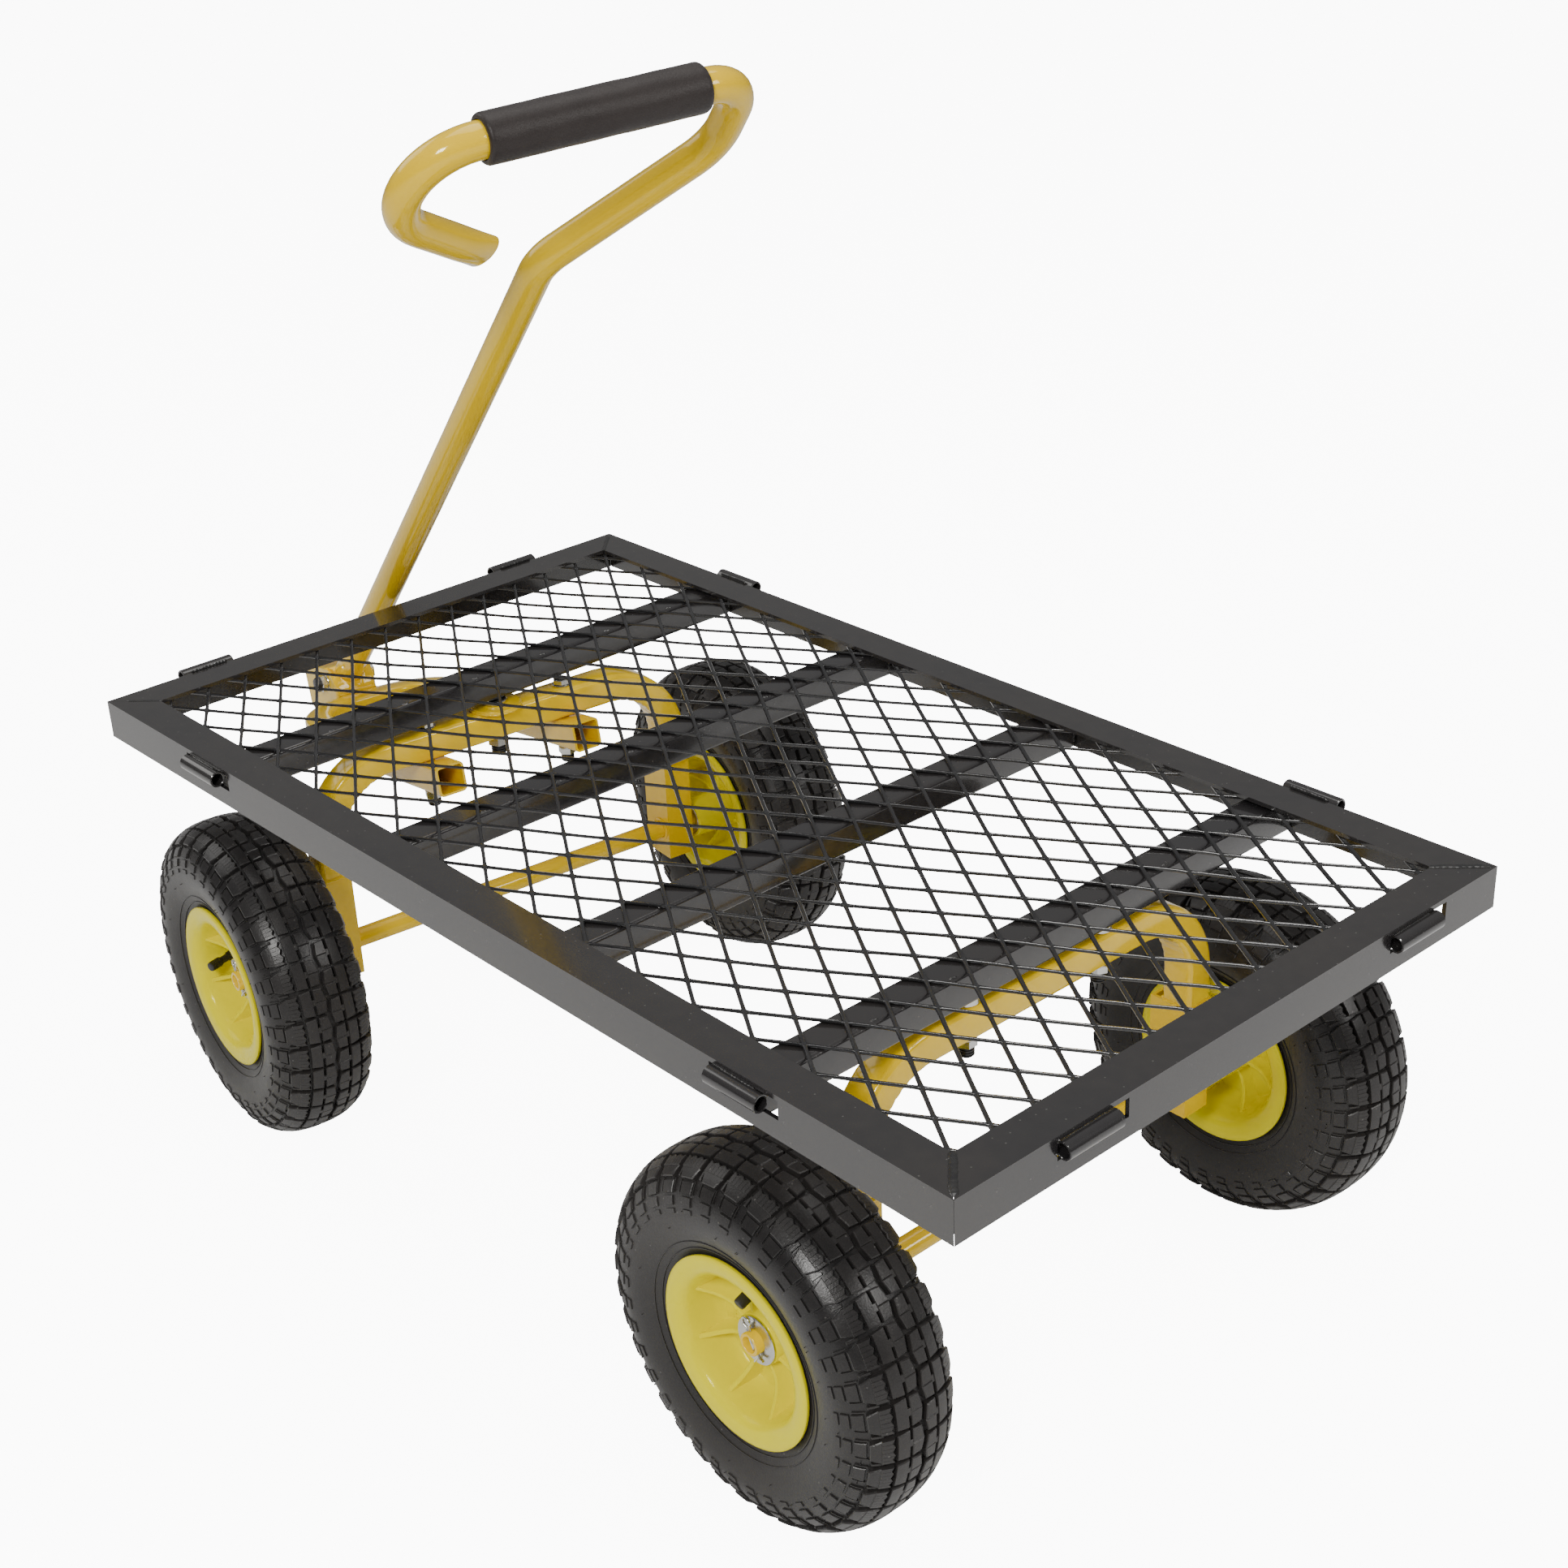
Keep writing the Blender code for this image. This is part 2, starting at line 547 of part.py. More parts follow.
def build_handle(pivot, steel, foam, black):
    """Round tube from the pivot up to an open loop, whose end stops short of the shaft."""
    corners = [(0, -HANDLE_TAIL), (0, 0.629), (-0.106, 0.7318), (-0.103, 0.8009),
               (0.1268, 0.7784), (0.1427, 0.7163), (0.0540, 0.6562)]
    points = rounded_path(corners, (0.034, 0.045, 0.030, 0.045, 0.045), 3)
    last = len(points) - 1

    def squash(number):
        return (0.62, 1.18) if number == last else (1.0, 1.0)

    points.insert(last, points[-1].lerp(points[-2], 0.35))
    last += 1

    def place(a, b):
        return Vector((0, a, b))

    depth = Vector((1, 0, 0))
    bm = bmesh.new()
    hollow_loft(bm, round_rings(points, HANDLE_RADIUS, 10, place, depth, squash),
                round_rings(points, HANDLE_BORE_RADIUS, 10, place, depth, squash))
    tube = make_object("handle_tube", bm, steel, pivot, smooth=40)
    cut(tube, [hole("handle_bore", PIN_RADIUS + GAP, (0, -0.02, 0), (0, 0.02, 0), pivot)])

    right, left = Vector((0, *GRIP_RIGHT_END)), Vector((0, *GRIP_LEFT_END))
    turn = (left - right).to_track_quat('Y', 'Z').to_euler()
    half = (left - right).length / 2
    bm = bmesh.new()
    inner = HANDLE_RADIUS + 2 * GAP
    revolve(bm, [(GRIP_RADIUS - 0.0015, -half), (GRIP_RADIUS, -half + 0.002), (GRIP_RADIUS, half - 0.002),
                 (GRIP_RADIUS - 0.0015, half), (inner, half), (inner, -half)], 16)
    make_object("handle_grip", bm, foam, pivot, location=(left + right) / 2, rotation=turn, smooth=40)

    for side, word in ((1, "left"), (-1, "right")):
        bm = bmesh.new()
        start, end = HANDLE_RADIUS + GAP, CLEVIS_HALF_GAP - GAP
        revolve(bm, [(0.0120, start), (0.0120, end), (PIN_RADIUS + GAP, end), (PIN_RADIUS + GAP, start)], 16)
        make_object(f"handle_spacer_{word}", bm, black, pivot, smooth=35,
                    rotation=(0, 0, 0 if side > 0 else math.pi))


def build_pivot_plate(steering, material):
    bm = bmesh.new()
    low, high = ARCH_TOP + GAP, PIVOT_PLATE_TOP
    revolve(bm, [(0.0210, low), (0.0210, high), (0.0055, high), (0.0055, low)], 24)
    make_object("pivot_plate", bm, material, steering, rotation=(math.pi / 2, 0, 0), smooth=35)


def build_deck_bolts(cart, zinc):
    """Kingpin stud under the front cross member and two arch studs under the rear one."""
    member_bottom = MEMBER_TOP - MEMBER_HEIGHT - GAP
    arch_bottom = ARCH_TOP - TUBE_SIDE - GAP
    threaded_fastener("kingpin", cart, (KINGPIN_X, 0, 0), 0.0050,
                      (0.0100, member_bottom, PIVOT_PLATE_TOP + GAP),
                      (arch_bottom, 0.0092, 0.0085), (0.0065, 0.0085), zinc)
    for side, word in ((1, "left"), (-1, "right")):
        threaded_fastener(f"rear_bolt_{word}", cart, (REAR_BOLT_X, side * TONGUE_HALF_SPAN, 0), 0.0040,
                          (0.0090, member_bottom, ARCH_TOP + GAP),
                          (arch_bottom, 0.0078, 0.0070), (0.0055, 0.0080), zinc)


def frame_shift():
    """Distance that puts the origin below the middle of the cart's bounding box."""
    rear = -DECK_HALF_LENGTH - SLEEVE_PROUD - SLEEVE_RADIUS
    clevis_u = TONGUE_FRONT + TUBE_SIDE / 2 + GAP + CLEVIS_LENGTH
    reach = clevis_u * math.cos(TONGUE_DROP) + CLEVIS_TOP * math.sin(TONGUE_DROP)
    half_clevis = CLEVIS_HALF_GAP + CLEVIS_WALL
    front = KINGPIN_X + reach * math.cos(STEER_AT_REST) + half_clevis * abs(math.sin(STEER_AT_REST))
    return -(front + rear) / 2


def main():
    clear_scene()
    black = make_material("black_powder_coat", (0.030, 0.030, 0.032), 0.28)
    yellow = make_material("yellow_powder_coat", (0.86, 0.56, 0.02), 0.30)
    rim_yellow = make_material("yellow_plastic", (0.95, 0.72, 0.01), 0.35)
    rubber = make_material("tyre_rubber", (0.030, 0.029, 0.028), 0.65)
    foam = make_material("grip_foam", (0.030, 0.031, 0.034), 0.85)
    zinc = make_material("zinc_steel", (0.62, 0.62, 0.60), 0.35, 1.0)
    plastic = make_material("black_plastic", (0.020, 0.020, 0.020), 0.45)

    cart = make_empty("cart_origin", (frame_shift(), 0, 0))
    build_rails(cart, black, black)
    build_cross_members(cart, black)
    build_mesh(cart, black)
    build_deck_bolts(cart, zinc)

    build_arch("rear_arch", cart, REAR_AXLE_X, REAR_BOLT_X - REAR_AXLE_X, False, yellow)
    for side, word in ((1, "left"), (-1, "right")):
        build_bracket(f"rear_bracket_{word}", cart, REAR_AXLE_X, side, yellow)
        build_wheel(f"wheel_rear_{word}", cart, REAR_AXLE_X, side, rubber, rim_yellow, plastic)
    build_axle("rear", cart, REAR_AXLE_X, yellow, zinc)

    steering = make_empty("steering", (KINGPIN_X, 0, 0), (0, 0, STEER_AT_REST), cart)
    build_arch("front_arch", steering, 0.0, 0.0, True, yellow)
    build_pivot_plate(steering, yellow)
    for side, word in ((1, "left"), (-1, "right")):
        build_bracket(f"front_bracket_{word}", steering, 0.0, side, yellow)
        build_wheel(f"wheel_front_{word}", steering, 0.0, side, rubber, rim_yellow, plastic)
    build_axle("front", steering, 0.0, yellow, zinc)

    tilt = make_empty("tongue_tilt", (0, 0, TONGUE_CENTRE_Z), (0, TONGUE_DROP, 0), steering)
    build_tongue(tilt, yellow, zinc)
    build_tongue_bolts(steering, zinc)
    pivot = make_empty("handle_pivot", (PIVOT_U, 0, PIVOT_W), (0, -HANDLE_LEAN - TONGUE_DROP, 0), tilt)
    build_handle(pivot, yellow, foam, plastic)


main()
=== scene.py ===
import json
import math
import random

import bmesh
import bpy
from mathutils import Matrix, Vector, noise


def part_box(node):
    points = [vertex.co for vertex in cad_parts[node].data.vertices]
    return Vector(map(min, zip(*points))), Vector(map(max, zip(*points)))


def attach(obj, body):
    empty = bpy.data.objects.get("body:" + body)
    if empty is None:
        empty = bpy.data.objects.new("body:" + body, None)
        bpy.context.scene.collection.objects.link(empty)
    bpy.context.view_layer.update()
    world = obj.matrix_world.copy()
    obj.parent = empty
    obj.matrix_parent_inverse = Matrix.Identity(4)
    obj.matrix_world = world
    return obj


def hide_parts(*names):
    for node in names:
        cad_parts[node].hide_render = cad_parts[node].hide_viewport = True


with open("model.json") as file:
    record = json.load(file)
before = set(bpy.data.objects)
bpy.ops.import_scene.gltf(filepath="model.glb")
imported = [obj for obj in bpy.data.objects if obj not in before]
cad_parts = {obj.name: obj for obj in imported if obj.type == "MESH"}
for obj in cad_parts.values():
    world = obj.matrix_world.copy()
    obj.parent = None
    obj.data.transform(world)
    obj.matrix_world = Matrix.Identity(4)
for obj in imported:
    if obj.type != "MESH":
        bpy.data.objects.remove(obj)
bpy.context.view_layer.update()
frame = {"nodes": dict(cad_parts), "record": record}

random.seed(7)

# the cart's own frame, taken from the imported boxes

gap = 0.0003
axleLow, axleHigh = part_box("rear_axle")
axleHalf = axleHigh.y
rearAxleX = (axleLow.x + axleHigh.x) / 2
wheelHeight = (axleLow.z + axleHigh.z) / 2
joints = {joint["name"]: joint for joint in frame["record"]["behaviour"]["joints"]}
kingpinX = joints["steer"]["pos_m"][0]
lateral = Vector(joints["handle_tilt"]["axis"])
steerRest = -math.atan2(lateral.x, lateral.y)
pivot = Vector(joints["handle_tilt"]["pos_m"])
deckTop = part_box("rail_left")[1].z
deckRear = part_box("rail_rear")[0].x
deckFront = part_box("rail_front")[1].x
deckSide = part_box("rail_left")[1].y
deckMiddle = (deckRear + deckFront) / 2

frontAxle = "front_axle_assembly"
tongueDrop = math.radians(10.5)
tongueZ = 0.2542
handleLean = math.radians(43.0)
steerFrame = Matrix.Translation((kingpinX, 0, 0)) @ Matrix.Rotation(steerRest, 4, 'Z')
tongueFrame = steerFrame @ Matrix.Translation((0, 0, tongueZ)) @ Matrix.Rotation(tongueDrop, 4, 'Y')
handleFrame = (Matrix.Translation(pivot) @ Matrix.Rotation(steerRest, 4, 'Z')
               @ Matrix.Rotation(-handleLean, 4, 'Y'))


# shader pieces shared between materials

def newGroup(name, inputs, outputs):
    tree = bpy.data.node_groups.new(name, 'ShaderNodeTree')
    for label, kind, value in inputs:
        socket = tree.interface.new_socket(label, in_out='INPUT', socket_type=kind)
        socket.default_value = value
    for label, kind in outputs:
        tree.interface.new_socket(label, in_out='OUTPUT', socket_type=kind)
    return tree, tree.nodes.new('NodeGroupInput'), tree.nodes.new('NodeGroupOutput')


def addNode(tree, kind, **settings):
    node = tree.nodes.new(kind)
    for key, value in settings.items():
        if key in node.inputs:
            node.inputs[key].default_value = value
        else:
            setattr(node, key, value)
    return node


def setIn(node, values):
    for label, value in values.items():
        node.inputs[label].default_value = value


def link(source, output, target, label):
    source.id_data.links.new(source.outputs[output], target.inputs[label])


# fine surface texture: a bump normal plus the noise behind it
tree, gin, gout = newGroup("fineGrain", [("Scale", 'NodeSocketFloat', 400.0),
                                         ("Strength", 'NodeSocketFloat', 0.2),
                                         ("Ripple", 'NodeSocketFloat', 0.3)],
                           [("Normal", 'NodeSocketVector'), ("Value", 'NodeSocketFloat')])
coords = addNode(tree, 'ShaderNodeTexCoord')
fineNoise = addNode(tree, 'ShaderNodeTexNoise', Detail=3.0)
slowNoise = addNode(tree, 'ShaderNodeTexNoise', Scale=38.0, Detail=2.0)
mixHeights = addNode(tree, 'ShaderNodeMath', operation='MULTIPLY_ADD')
bump = addNode(tree, 'ShaderNodeBump', Distance=0.0004)
link(coords, "Object", fineNoise, "Vector")
link(coords, "Object", slowNoise, "Vector")
link(gin, "Scale", fineNoise, "Scale")
link(slowNoise, "Fac", mixHeights, 0)
link(gin, "Ripple", mixHeights, 1)
link(fineNoise, "Fac", mixHeights, 2)
link(mixHeights, 0, bump, "Height")
link(gin, "Strength", bump, "Strength")
link(bump, "Normal", gout, "Normal")
link(fineNoise, "Fac", gout, "Value")
grainGroup = tree

tree, gin, gout = newGroup("mottle", [("Color A", 'NodeSocketColor', (1, 1, 1, 1)),
                                      ("Color B", 'NodeSocketColor', (0, 0, 0, 1)),
                                      ("Scale", 'NodeSocketFloat', 20.0),
                                      ("Amount", 'NodeSocketFloat', 0.5)],
                           [("Color", 'NodeSocketColor'), ("Mask", 'NodeSocketFloat')])
coords = addNode(tree, 'ShaderNodeTexCoord')
cloud = addNode(tree, 'ShaderNodeTexNoise', Detail=5.0, Roughness=0.62)
ramp = addNode(tree, 'ShaderNodeMapRange')
setIn(ramp, {"From Min": 0.38, "From Max": 0.68})
amount = addNode(tree, 'ShaderNodeMath', operation='MULTIPLY')
mixer = addNode(tree, 'ShaderNodeMix', data_type='RGBA')
link(coords, "Object", cloud, "Vector")
link(gin, "Scale", cloud, "Scale")
link(cloud, "Fac", ramp, "Value")
link(ramp, "Result", amount, 0)
link(gin, "Amount", amount, 1)
link(amount, 0, mixer, "Factor")
link(gin, "Color A", mixer, "A")
link(gin, "Color B", mixer, "B")
link(mixer, "Result", gout, "Color")
link(amount, 0, gout, "Mask")
mottleGroup = tree

tree, gin, gout = newGroup("edgeWear",
                           [("Amount", 'NodeSocketFloat', 0.5), ("Speckle", 'NodeSocketFloat', 0.5)],
                           [("Edge", 'NodeSocketFloat'), ("Speck", 'NodeSocketFloat')])
geometry = addNode(tree, 'ShaderNodeNewGeometry')
coords = addNode(tree, 'ShaderNodeTexCoord')
sharpEdge = addNode(tree, 'ShaderNodeMapRange')
setIn(sharpEdge, {"From Min": 0.53, "From Max": 0.62})
breakUp = addNode(tree, 'ShaderNodeTexNoise', Scale=90.0, Detail=4.0)
edgeTimes = addNode(tree, 'ShaderNodeMath', operation='MULTIPLY')
edgeScale = addNode(tree, 'ShaderNodeMath', operation='MULTIPLY', use_clamp=True)
dots = addNode(tree, 'ShaderNodeTexVoronoi', Scale=130.0)
dotRange = addNode(tree, 'ShaderNodeMapRange')
setIn(dotRange, {"From Min": 0.10, "From Max": 0.04})
dotTimes = addNode(tree, 'ShaderNodeMath', operation='MULTIPLY')
link(geometry, "Pointiness", sharpEdge, "Value")
link(coords, "Object", breakUp, "Vector")
link(coords, "Object", dots, "Vector")
link(sharpEdge, "Result", edgeTimes, 0)
link(breakUp, "Fac", edgeTimes, 1)
link(edgeTimes, 0, edgeScale, 0)
link(gin, "Amount", edgeScale, 1)
link(dots, "Distance", dotRange, "Value")
link(dotRange, "Result", dotTimes, 0)
link(gin, "Speckle", dotTimes, 1)
link(edgeScale, 0, gout, "Edge")
link(dotTimes, 0, gout, "Speck")
wearGroup = tree


def surface(name, colour, shade, roughness, roughSpread=0.08, metallic=0.0, coat=0.0, mottleScale=14.0,
            mottleAmount=0.5, grainScale=420.0, grainStrength=0.15, ripple=0.3, wear=0.3, wearColour=None,
            speckle=0.0, sheen=0.0, specular=0.5, tint=(1, 1, 1)):
    # one painted, plated or moulded surface with clouded colour, grain, worn edges and specks
    material = bpy.data.materials.new(name)
    material.use_nodes = True
    tree = material.node_tree
    shader = tree.nodes["Principled BSDF"]
    setIn(shader, {"Metallic": metallic, "Coat Weight": coat, "Coat Roughness": 0.09,
                   "Specular IOR Level": specular, "Specular Tint": (*tint, 1), "Sheen Weight": sheen})
    mottle = addNode(tree, 'ShaderNodeGroup', node_tree=mottleGroup)
    setIn(mottle, {"Color A": (*colour, 1), "Color B": (*shade, 1), "Scale": mottleScale,
                   "Amount": mottleAmount})
    worn = addNode(tree, 'ShaderNodeGroup', node_tree=wearGroup)
    setIn(worn, {"Amount": wear, "Speckle": speckle})
    wearMix = addNode(tree, 'ShaderNodeMix', data_type='RGBA')
    setIn(wearMix, {"B": (*(wearColour or shade), 1)})
    speckMix = addNode(tree, 'ShaderNodeMix', data_type='RGBA')
    setIn(speckMix, {"B": (0.30, 0.29, 0.27, 1)})
    link(mottle, "Color", wearMix, "A")
    link(worn, "Edge", wearMix, "Factor")
    link(wearMix, "Result", speckMix, "A")
    link(worn, "Speck", speckMix, "Factor")
    link(speckMix, "Result", shader, "Base Color")
    grain = addNode(tree, 'ShaderNodeGroup', node_tree=grainGroup)
    setIn(grain, {"Scale": grainScale, "Strength": grainStrength, "Ripple": ripple})
    link(grain, "Normal", shader, "Normal")
    rough = addNode(tree, 'ShaderNodeMapRange')
    setIn(rough, {"To Min": roughness - roughSpread, "To Max": roughness + roughSpread})
    link(mottle, "Mask", rough, "Value")
    link(rough, "Result", shader, "Roughness")
    return material


deckBlack = surface("deckBlack", (0.018, 0.017, 0.018), (0.030, 0.026, 0.023), 0.22, 0.06, coat=0.7,
                    mottleScale=9.0, grainScale=650.0, grainStrength=0.10, ripple=1.2, wear=0.22,
                    wearColour=(0.070, 0.064, 0.058), speckle=0.22, specular=0.42)
meshBlack = surface("meshBlack", (0.016, 0.016, 0.017), (0.030, 0.029, 0.029), 0.26, 0.07, coat=0.35,
                    mottleScale=60.0, grainScale=900.0, grainStrength=0.2, wear=0.15,
                    wearColour=(0.055, 0.055, 0.055), specular=0.42)
weldBlack = surface("weldBlack", (0.014, 0.014, 0.015), (0.036, 0.034, 0.032), 0.32, 0.10, coat=0.3,
                    mottleScale=160.0, grainScale=300.0, grainStrength=0.6, ripple=2.0, wear=0.35,
                    wearColour=(0.10, 0.09, 0.08))
frameYellow = surface("frameYellow", (0.88, 0.58, 0.0), (0.84, 0.51, 0.0), 0.24, 0.04, coat=0.95,
                      mottleScale=6.0, mottleAmount=0.3, grainScale=900.0, grainStrength=0.05, ripple=0.35,
                      wear=0.20, wearColour=(0.70, 0.38, 0.0), speckle=0.05, specular=0.22,
                      tint=(1, 0.80, 0.1))
rimYellow = surface("rimYellow", (0.86, 0.76, 0.0), (0.80, 0.67, 0.0), 0.30, 0.04, coat=0.20,
                    mottleScale=10.0, mottleAmount=0.3, grainScale=700.0, grainStrength=0.06, ripple=0.3,
                    wear=0.18, wearColour=(0.90, 0.62, 0.0), speckle=0.04, specular=0.18, tint=(1, 0.9, 0.1))
tyreRubber = surface("tyreRubber", (0.013, 0.012, 0.012), (0.027, 0.024, 0.022), 0.38, 0.08,
                     mottleScale=13.0, mottleAmount=0.8, grainScale=800.0, grainStrength=0.30, ripple=0.6,
                     wear=0.3, wearColour=(0.050, 0.046, 0.043), speckle=0.25, sheen=0.03, specular=0.4)
gripFoam = surface("gripFoam", (0.022, 0.017, 0.016), (0.034, 0.027, 0.025), 0.44, 0.06,
                   mottleScale=30.0, grainScale=1500.0, grainStrength=0.5, ripple=0.8, wear=0.25,
                   wearColour=(0.060, 0.050, 0.048), sheen=0.08, specular=0.3)
zincPlate = surface("zincPlate", (0.66, 0.66, 0.64), (0.50, 0.50, 0.46), 0.26, 0.08, metallic=1.0,
                    mottleScale=70.0, grainScale=500.0, grainStrength=0.15, wear=0.3,
                    wearColour=(0.78, 0.78, 0.76))
blackPlastic = surface("blackPlastic", (0.009, 0.009, 0.010), (0.020, 0.020, 0.020), 0.36, 0.06,
                       mottleScale=50.0, grainScale=600.0, grainStrength=0.2, wear=0.25,
                       wearColour=(0.05, 0.05, 0.05))
print("materials made")


# mesh helpers

def toMesh(bm, name):
    bmesh.ops.recalc_face_normals(bm, faces=bm.faces[:])
    mesh = bpy.data.meshes.new(name)
    bm.to_mesh(mesh)
    bm.free()
    return mesh


def addPiece(name, bm, material, body, replaces=(), place=None, smooth=35.0):
    bmesh.ops.remove_doubles(bm, verts=bm.verts[:], dist=1e-6)
    return finishPiece(toMesh(bm, name), name, material, body, replaces, place, smooth)


def finishPiece(mesh, name, material, body, replaces, place, smooth):
    if place is not None:
        mesh.transform(place)
    mesh.shade_smooth()
    mesh.set_sharp_from_angle(angle=math.radians(smooth))
    mesh.materials.append(material)
    piece = bpy.data.objects.new(name, mesh)
    bpy.context.scene.collection.objects.link(piece)
    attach(piece, body)
    if replaces:
        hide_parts(*replaces)
    return piece


def softenEdges(obj, width, segments, angle, harden):
    soften = obj.modifiers.new("soften", 'BEVEL')
    soften.width = width
    soften.segments = segments
    soften.limit_method = 'ANGLE'
    soften.angle_limit = math.radians(angle)
    soften.harden_normals = harden


def softenNode(node, material, width=0.0012, angle=50):
    # rounds a carried-over node's edges and gives it its finish
    obj = frame["nodes"][node]
    obj.material_slots[0].material = material
    softenEdges(obj, width, 3, angle, True)


def bridge(bm, first, second):
    for i in range(len(first)):
        j = (i + 1) % len(first)
        bm.faces.new((first[i], first[j], second[j], second[i]))


def skin(bm, rings, closed=False, caps=False):
    layers = [[bm.verts.new(point) for point in ring] for ring in rings]
    pairs = list(zip(layers, layers[1:])) + ([(layers[-1], layers[0])] if closed else [])
    for first, second in pairs:
        bridge(bm, first, second)
    if caps:
        bm.faces.new(layers[0])
        bm.faces.new(layers[-1])
    return layers


def lathe(bm, profile, segments=48, place=None, closed=False):
    # turns (radius, y) points about Y; open profiles get a cap at each end unless they close
    place = place or Matrix.Identity(4)
    rings = []
    for step in range(segments):
        angle = 2 * math.pi * step / segments
        across = Vector((math.sin(angle), 0, -math.cos(angle)))
        rings.append([bm.verts.new(place @ (across * radius + Vector((0, y, 0)))) for radius, y in profile])
    count = len(profile)
    for first, second in zip(rings, rings[1:] + rings[:1]):
        for i in range(count if closed else count - 1):
            j = (i + 1) % count
            bm.faces.new((first[i], first[j], second[j], second[i]))
    if not closed:
        bm.faces.new([ring[0] for ring in rings])
        bm.faces.new([ring[-1] for ring in rings])


def filletPath(corners, radius, steps):
    # 2D centre line with an arc at each inner corner; radius may be one number or one per corner
    radii = radius if isinstance(radius, (list, tuple)) else [radius] * (len(corners) - 2)
    points = [Vector(corners[0])]
    for before, corner, after, bend in zip(corners, corners[1:], corners[2:], radii):
        corner = Vector(corner)
        back = (Vector(before) - corner).normalized()
        ahead = (Vector(after) - corner).normalized()
        half = back.angle(ahead) / 2
        centre = corner + (back + ahead).normalized() * (bend / math.sin(half))
        first = corner + back * (bend / math.tan(half)) - centre
        last = corner + ahead * (bend / math.tan(half)) - centre
        sweep = first.angle_signed(last)
        for step in range(steps + 1):
            points.append(centre + Matrix.Rotation(-sweep * step / steps, 2) @ first)
    points.append(Vector(corners[-1]))
    return points


def splitLong(points, longest):
    # more points on the straights, so that small waviness can show
    result = [points[0]]
    for a, b in zip(points, points[1:]):
        parts = max(1, math.ceil((b - a).length / longest))
        result += [a.lerp(b, (k + 1) / parts) for k in range(parts)]
    return result


def sweepRings(points, section, place, reshape=None):
    # section is (across, depth) points; place maps (a, b, depth) to 3D
    rings = []
    for number, point in enumerate(points):
        before = (point - points[number - 1]).normalized() if number else None
        after = (points[number + 1] - point).normalized() if number < len(points) - 1 else None
        along = ((before or after) + (after or before)).normalized()
        normal = Vector((-along.y, along.x)) / max(0.6, along.dot(after or before))
        ring = []
        for across, depth in section:
            if reshape:
                across, depth = reshape(number, across, depth)
            spot = point + normal * across
            ring.append(place(spot.x, spot.y, depth))
        rings.append(ring)
    return rings


def roundedSquare(side, corner, steps=4):
    half = side / 2 - corner
    section = []
    for quarter, (cx, cy) in enumerate(((half, half), (-half, half), (-half, -half), (half, -half))):
        for step in range(steps + 1):
            angle = math.pi / 2 * (quarter + step / steps)
            section.append((cx + corner * math.cos(angle), cy + corner * math.sin(angle)))
    return section


def circleSection(radius, segments=24):
    return [(radius * math.cos(2 * math.pi * k / segments), radius * math.sin(2 * math.pi * k / segments))
            for k in range(segments)]


def tubeSkin(bm, outer, inner):
    # outer and inner skins of a tube, joined by a rim at both ends
    a, b = skin(bm, outer), skin(bm, inner)
    for end in (0, -1):
        bridge(bm, a[end], b[end])


def weldBead(bm, points, radius, ripple=0.003, seed=0.0, flatten=0.75, lift=Vector((0, 0, 1)), taper=True):
    # a run of overlapping weld puddles along a line
    points = [Vector(p) for p in points]
    dense = splitLong(points, 0.0007)
    rings = []
    travelled = 0.0
    total = sum((b - a).length for a, b in zip(dense, dense[1:]))
    for number, point in enumerate(dense):
        along = (dense[min(number + 1, len(dense) - 1)] - dense[max(number - 1, 0)]).normalized()
        if number:
            travelled += (point - dense[number - 1]).length
        phase = travelled / ripple
        puddle = 0.84 + 0.16 * abs(math.sin(math.pi * phase)) ** 0.6
        rough = 1 + 0.22 * noise.noise(Vector((phase * 0.45, seed, 3.1)))
        size = radius * puddle * rough
        if taper:
            size *= min(1.0, 0.35 + min(travelled, total - travelled) / (radius * 1.6))
        side = along.cross(lift).normalized()
        up = side.cross(along).normalized()
        drift = side * radius * 0.25 * noise.noise(Vector((phase * 0.6, seed + 5.0, 0)))
        ring = []
        for k in range(10):
            angle = 2 * math.pi * k / 10
            ring.append(point + drift + side * size * math.cos(angle) + up * size * flatten * math.sin(angle))
        rings.append(ring)
    skin(bm, rings, caps=True)


def weldRing(bm, centre, axis, radius, bead, start=0.0, sweep=2 * math.pi, seed=0.0):
    # a bead that runs round a bar
    axis = Vector(axis).normalized()
    side = axis.orthogonal().normalized()
    up = axis.cross(side)
    steps = max(8, int(sweep * radius / 0.002))
    points = [Vector(centre) + (side * math.cos(start + sweep * k / steps)
                                + up * math.sin(start + sweep * k / steps)) * radius
              for k in range(steps + 1)]
    weldBead(bm, points, bead, seed=seed, lift=axis)


def hexPrism(bm, flats, low, high, place, chamfer=0.0008, turn=0.0):
    # hexagonal head or nut about Z with broken corners
    corner = flats / 2 / math.cos(math.pi / 6)
    levels = ((corner - chamfer, low), (corner, low + chamfer * 0.7), (corner, high - chamfer * 0.7),
              (corner - chamfer, high))
    rings = []
    for radius, z in levels:
        rings.append([place @ Vector((radius * math.cos(turn + k * math.pi / 3),
                                      radius * math.sin(turn + k * math.pi / 3), z)) for k in range(6)])
    skin(bm, rings, caps=True)


upright = Matrix.Rotation(math.pi / 2, 4, 'X')


def discOn(bm, profile, place, segments=40, closed=False):
    # lathe with its axis along Z: points are (radius, z)
    lathe(bm, [(radius, z) for radius, z in profile], segments, place @ upright, closed)


def threadProfile(radius, low, high, pitch=0.0013, depth=0.0005):
    points = []
    turns = int((high - low) / pitch)
    for k in range(turns):
        z = low + k * pitch
        points += [(radius - depth, z), (radius, z + pitch * 0.5)]
    points.append((radius - depth, low + turns * pitch))
    return points


# deck

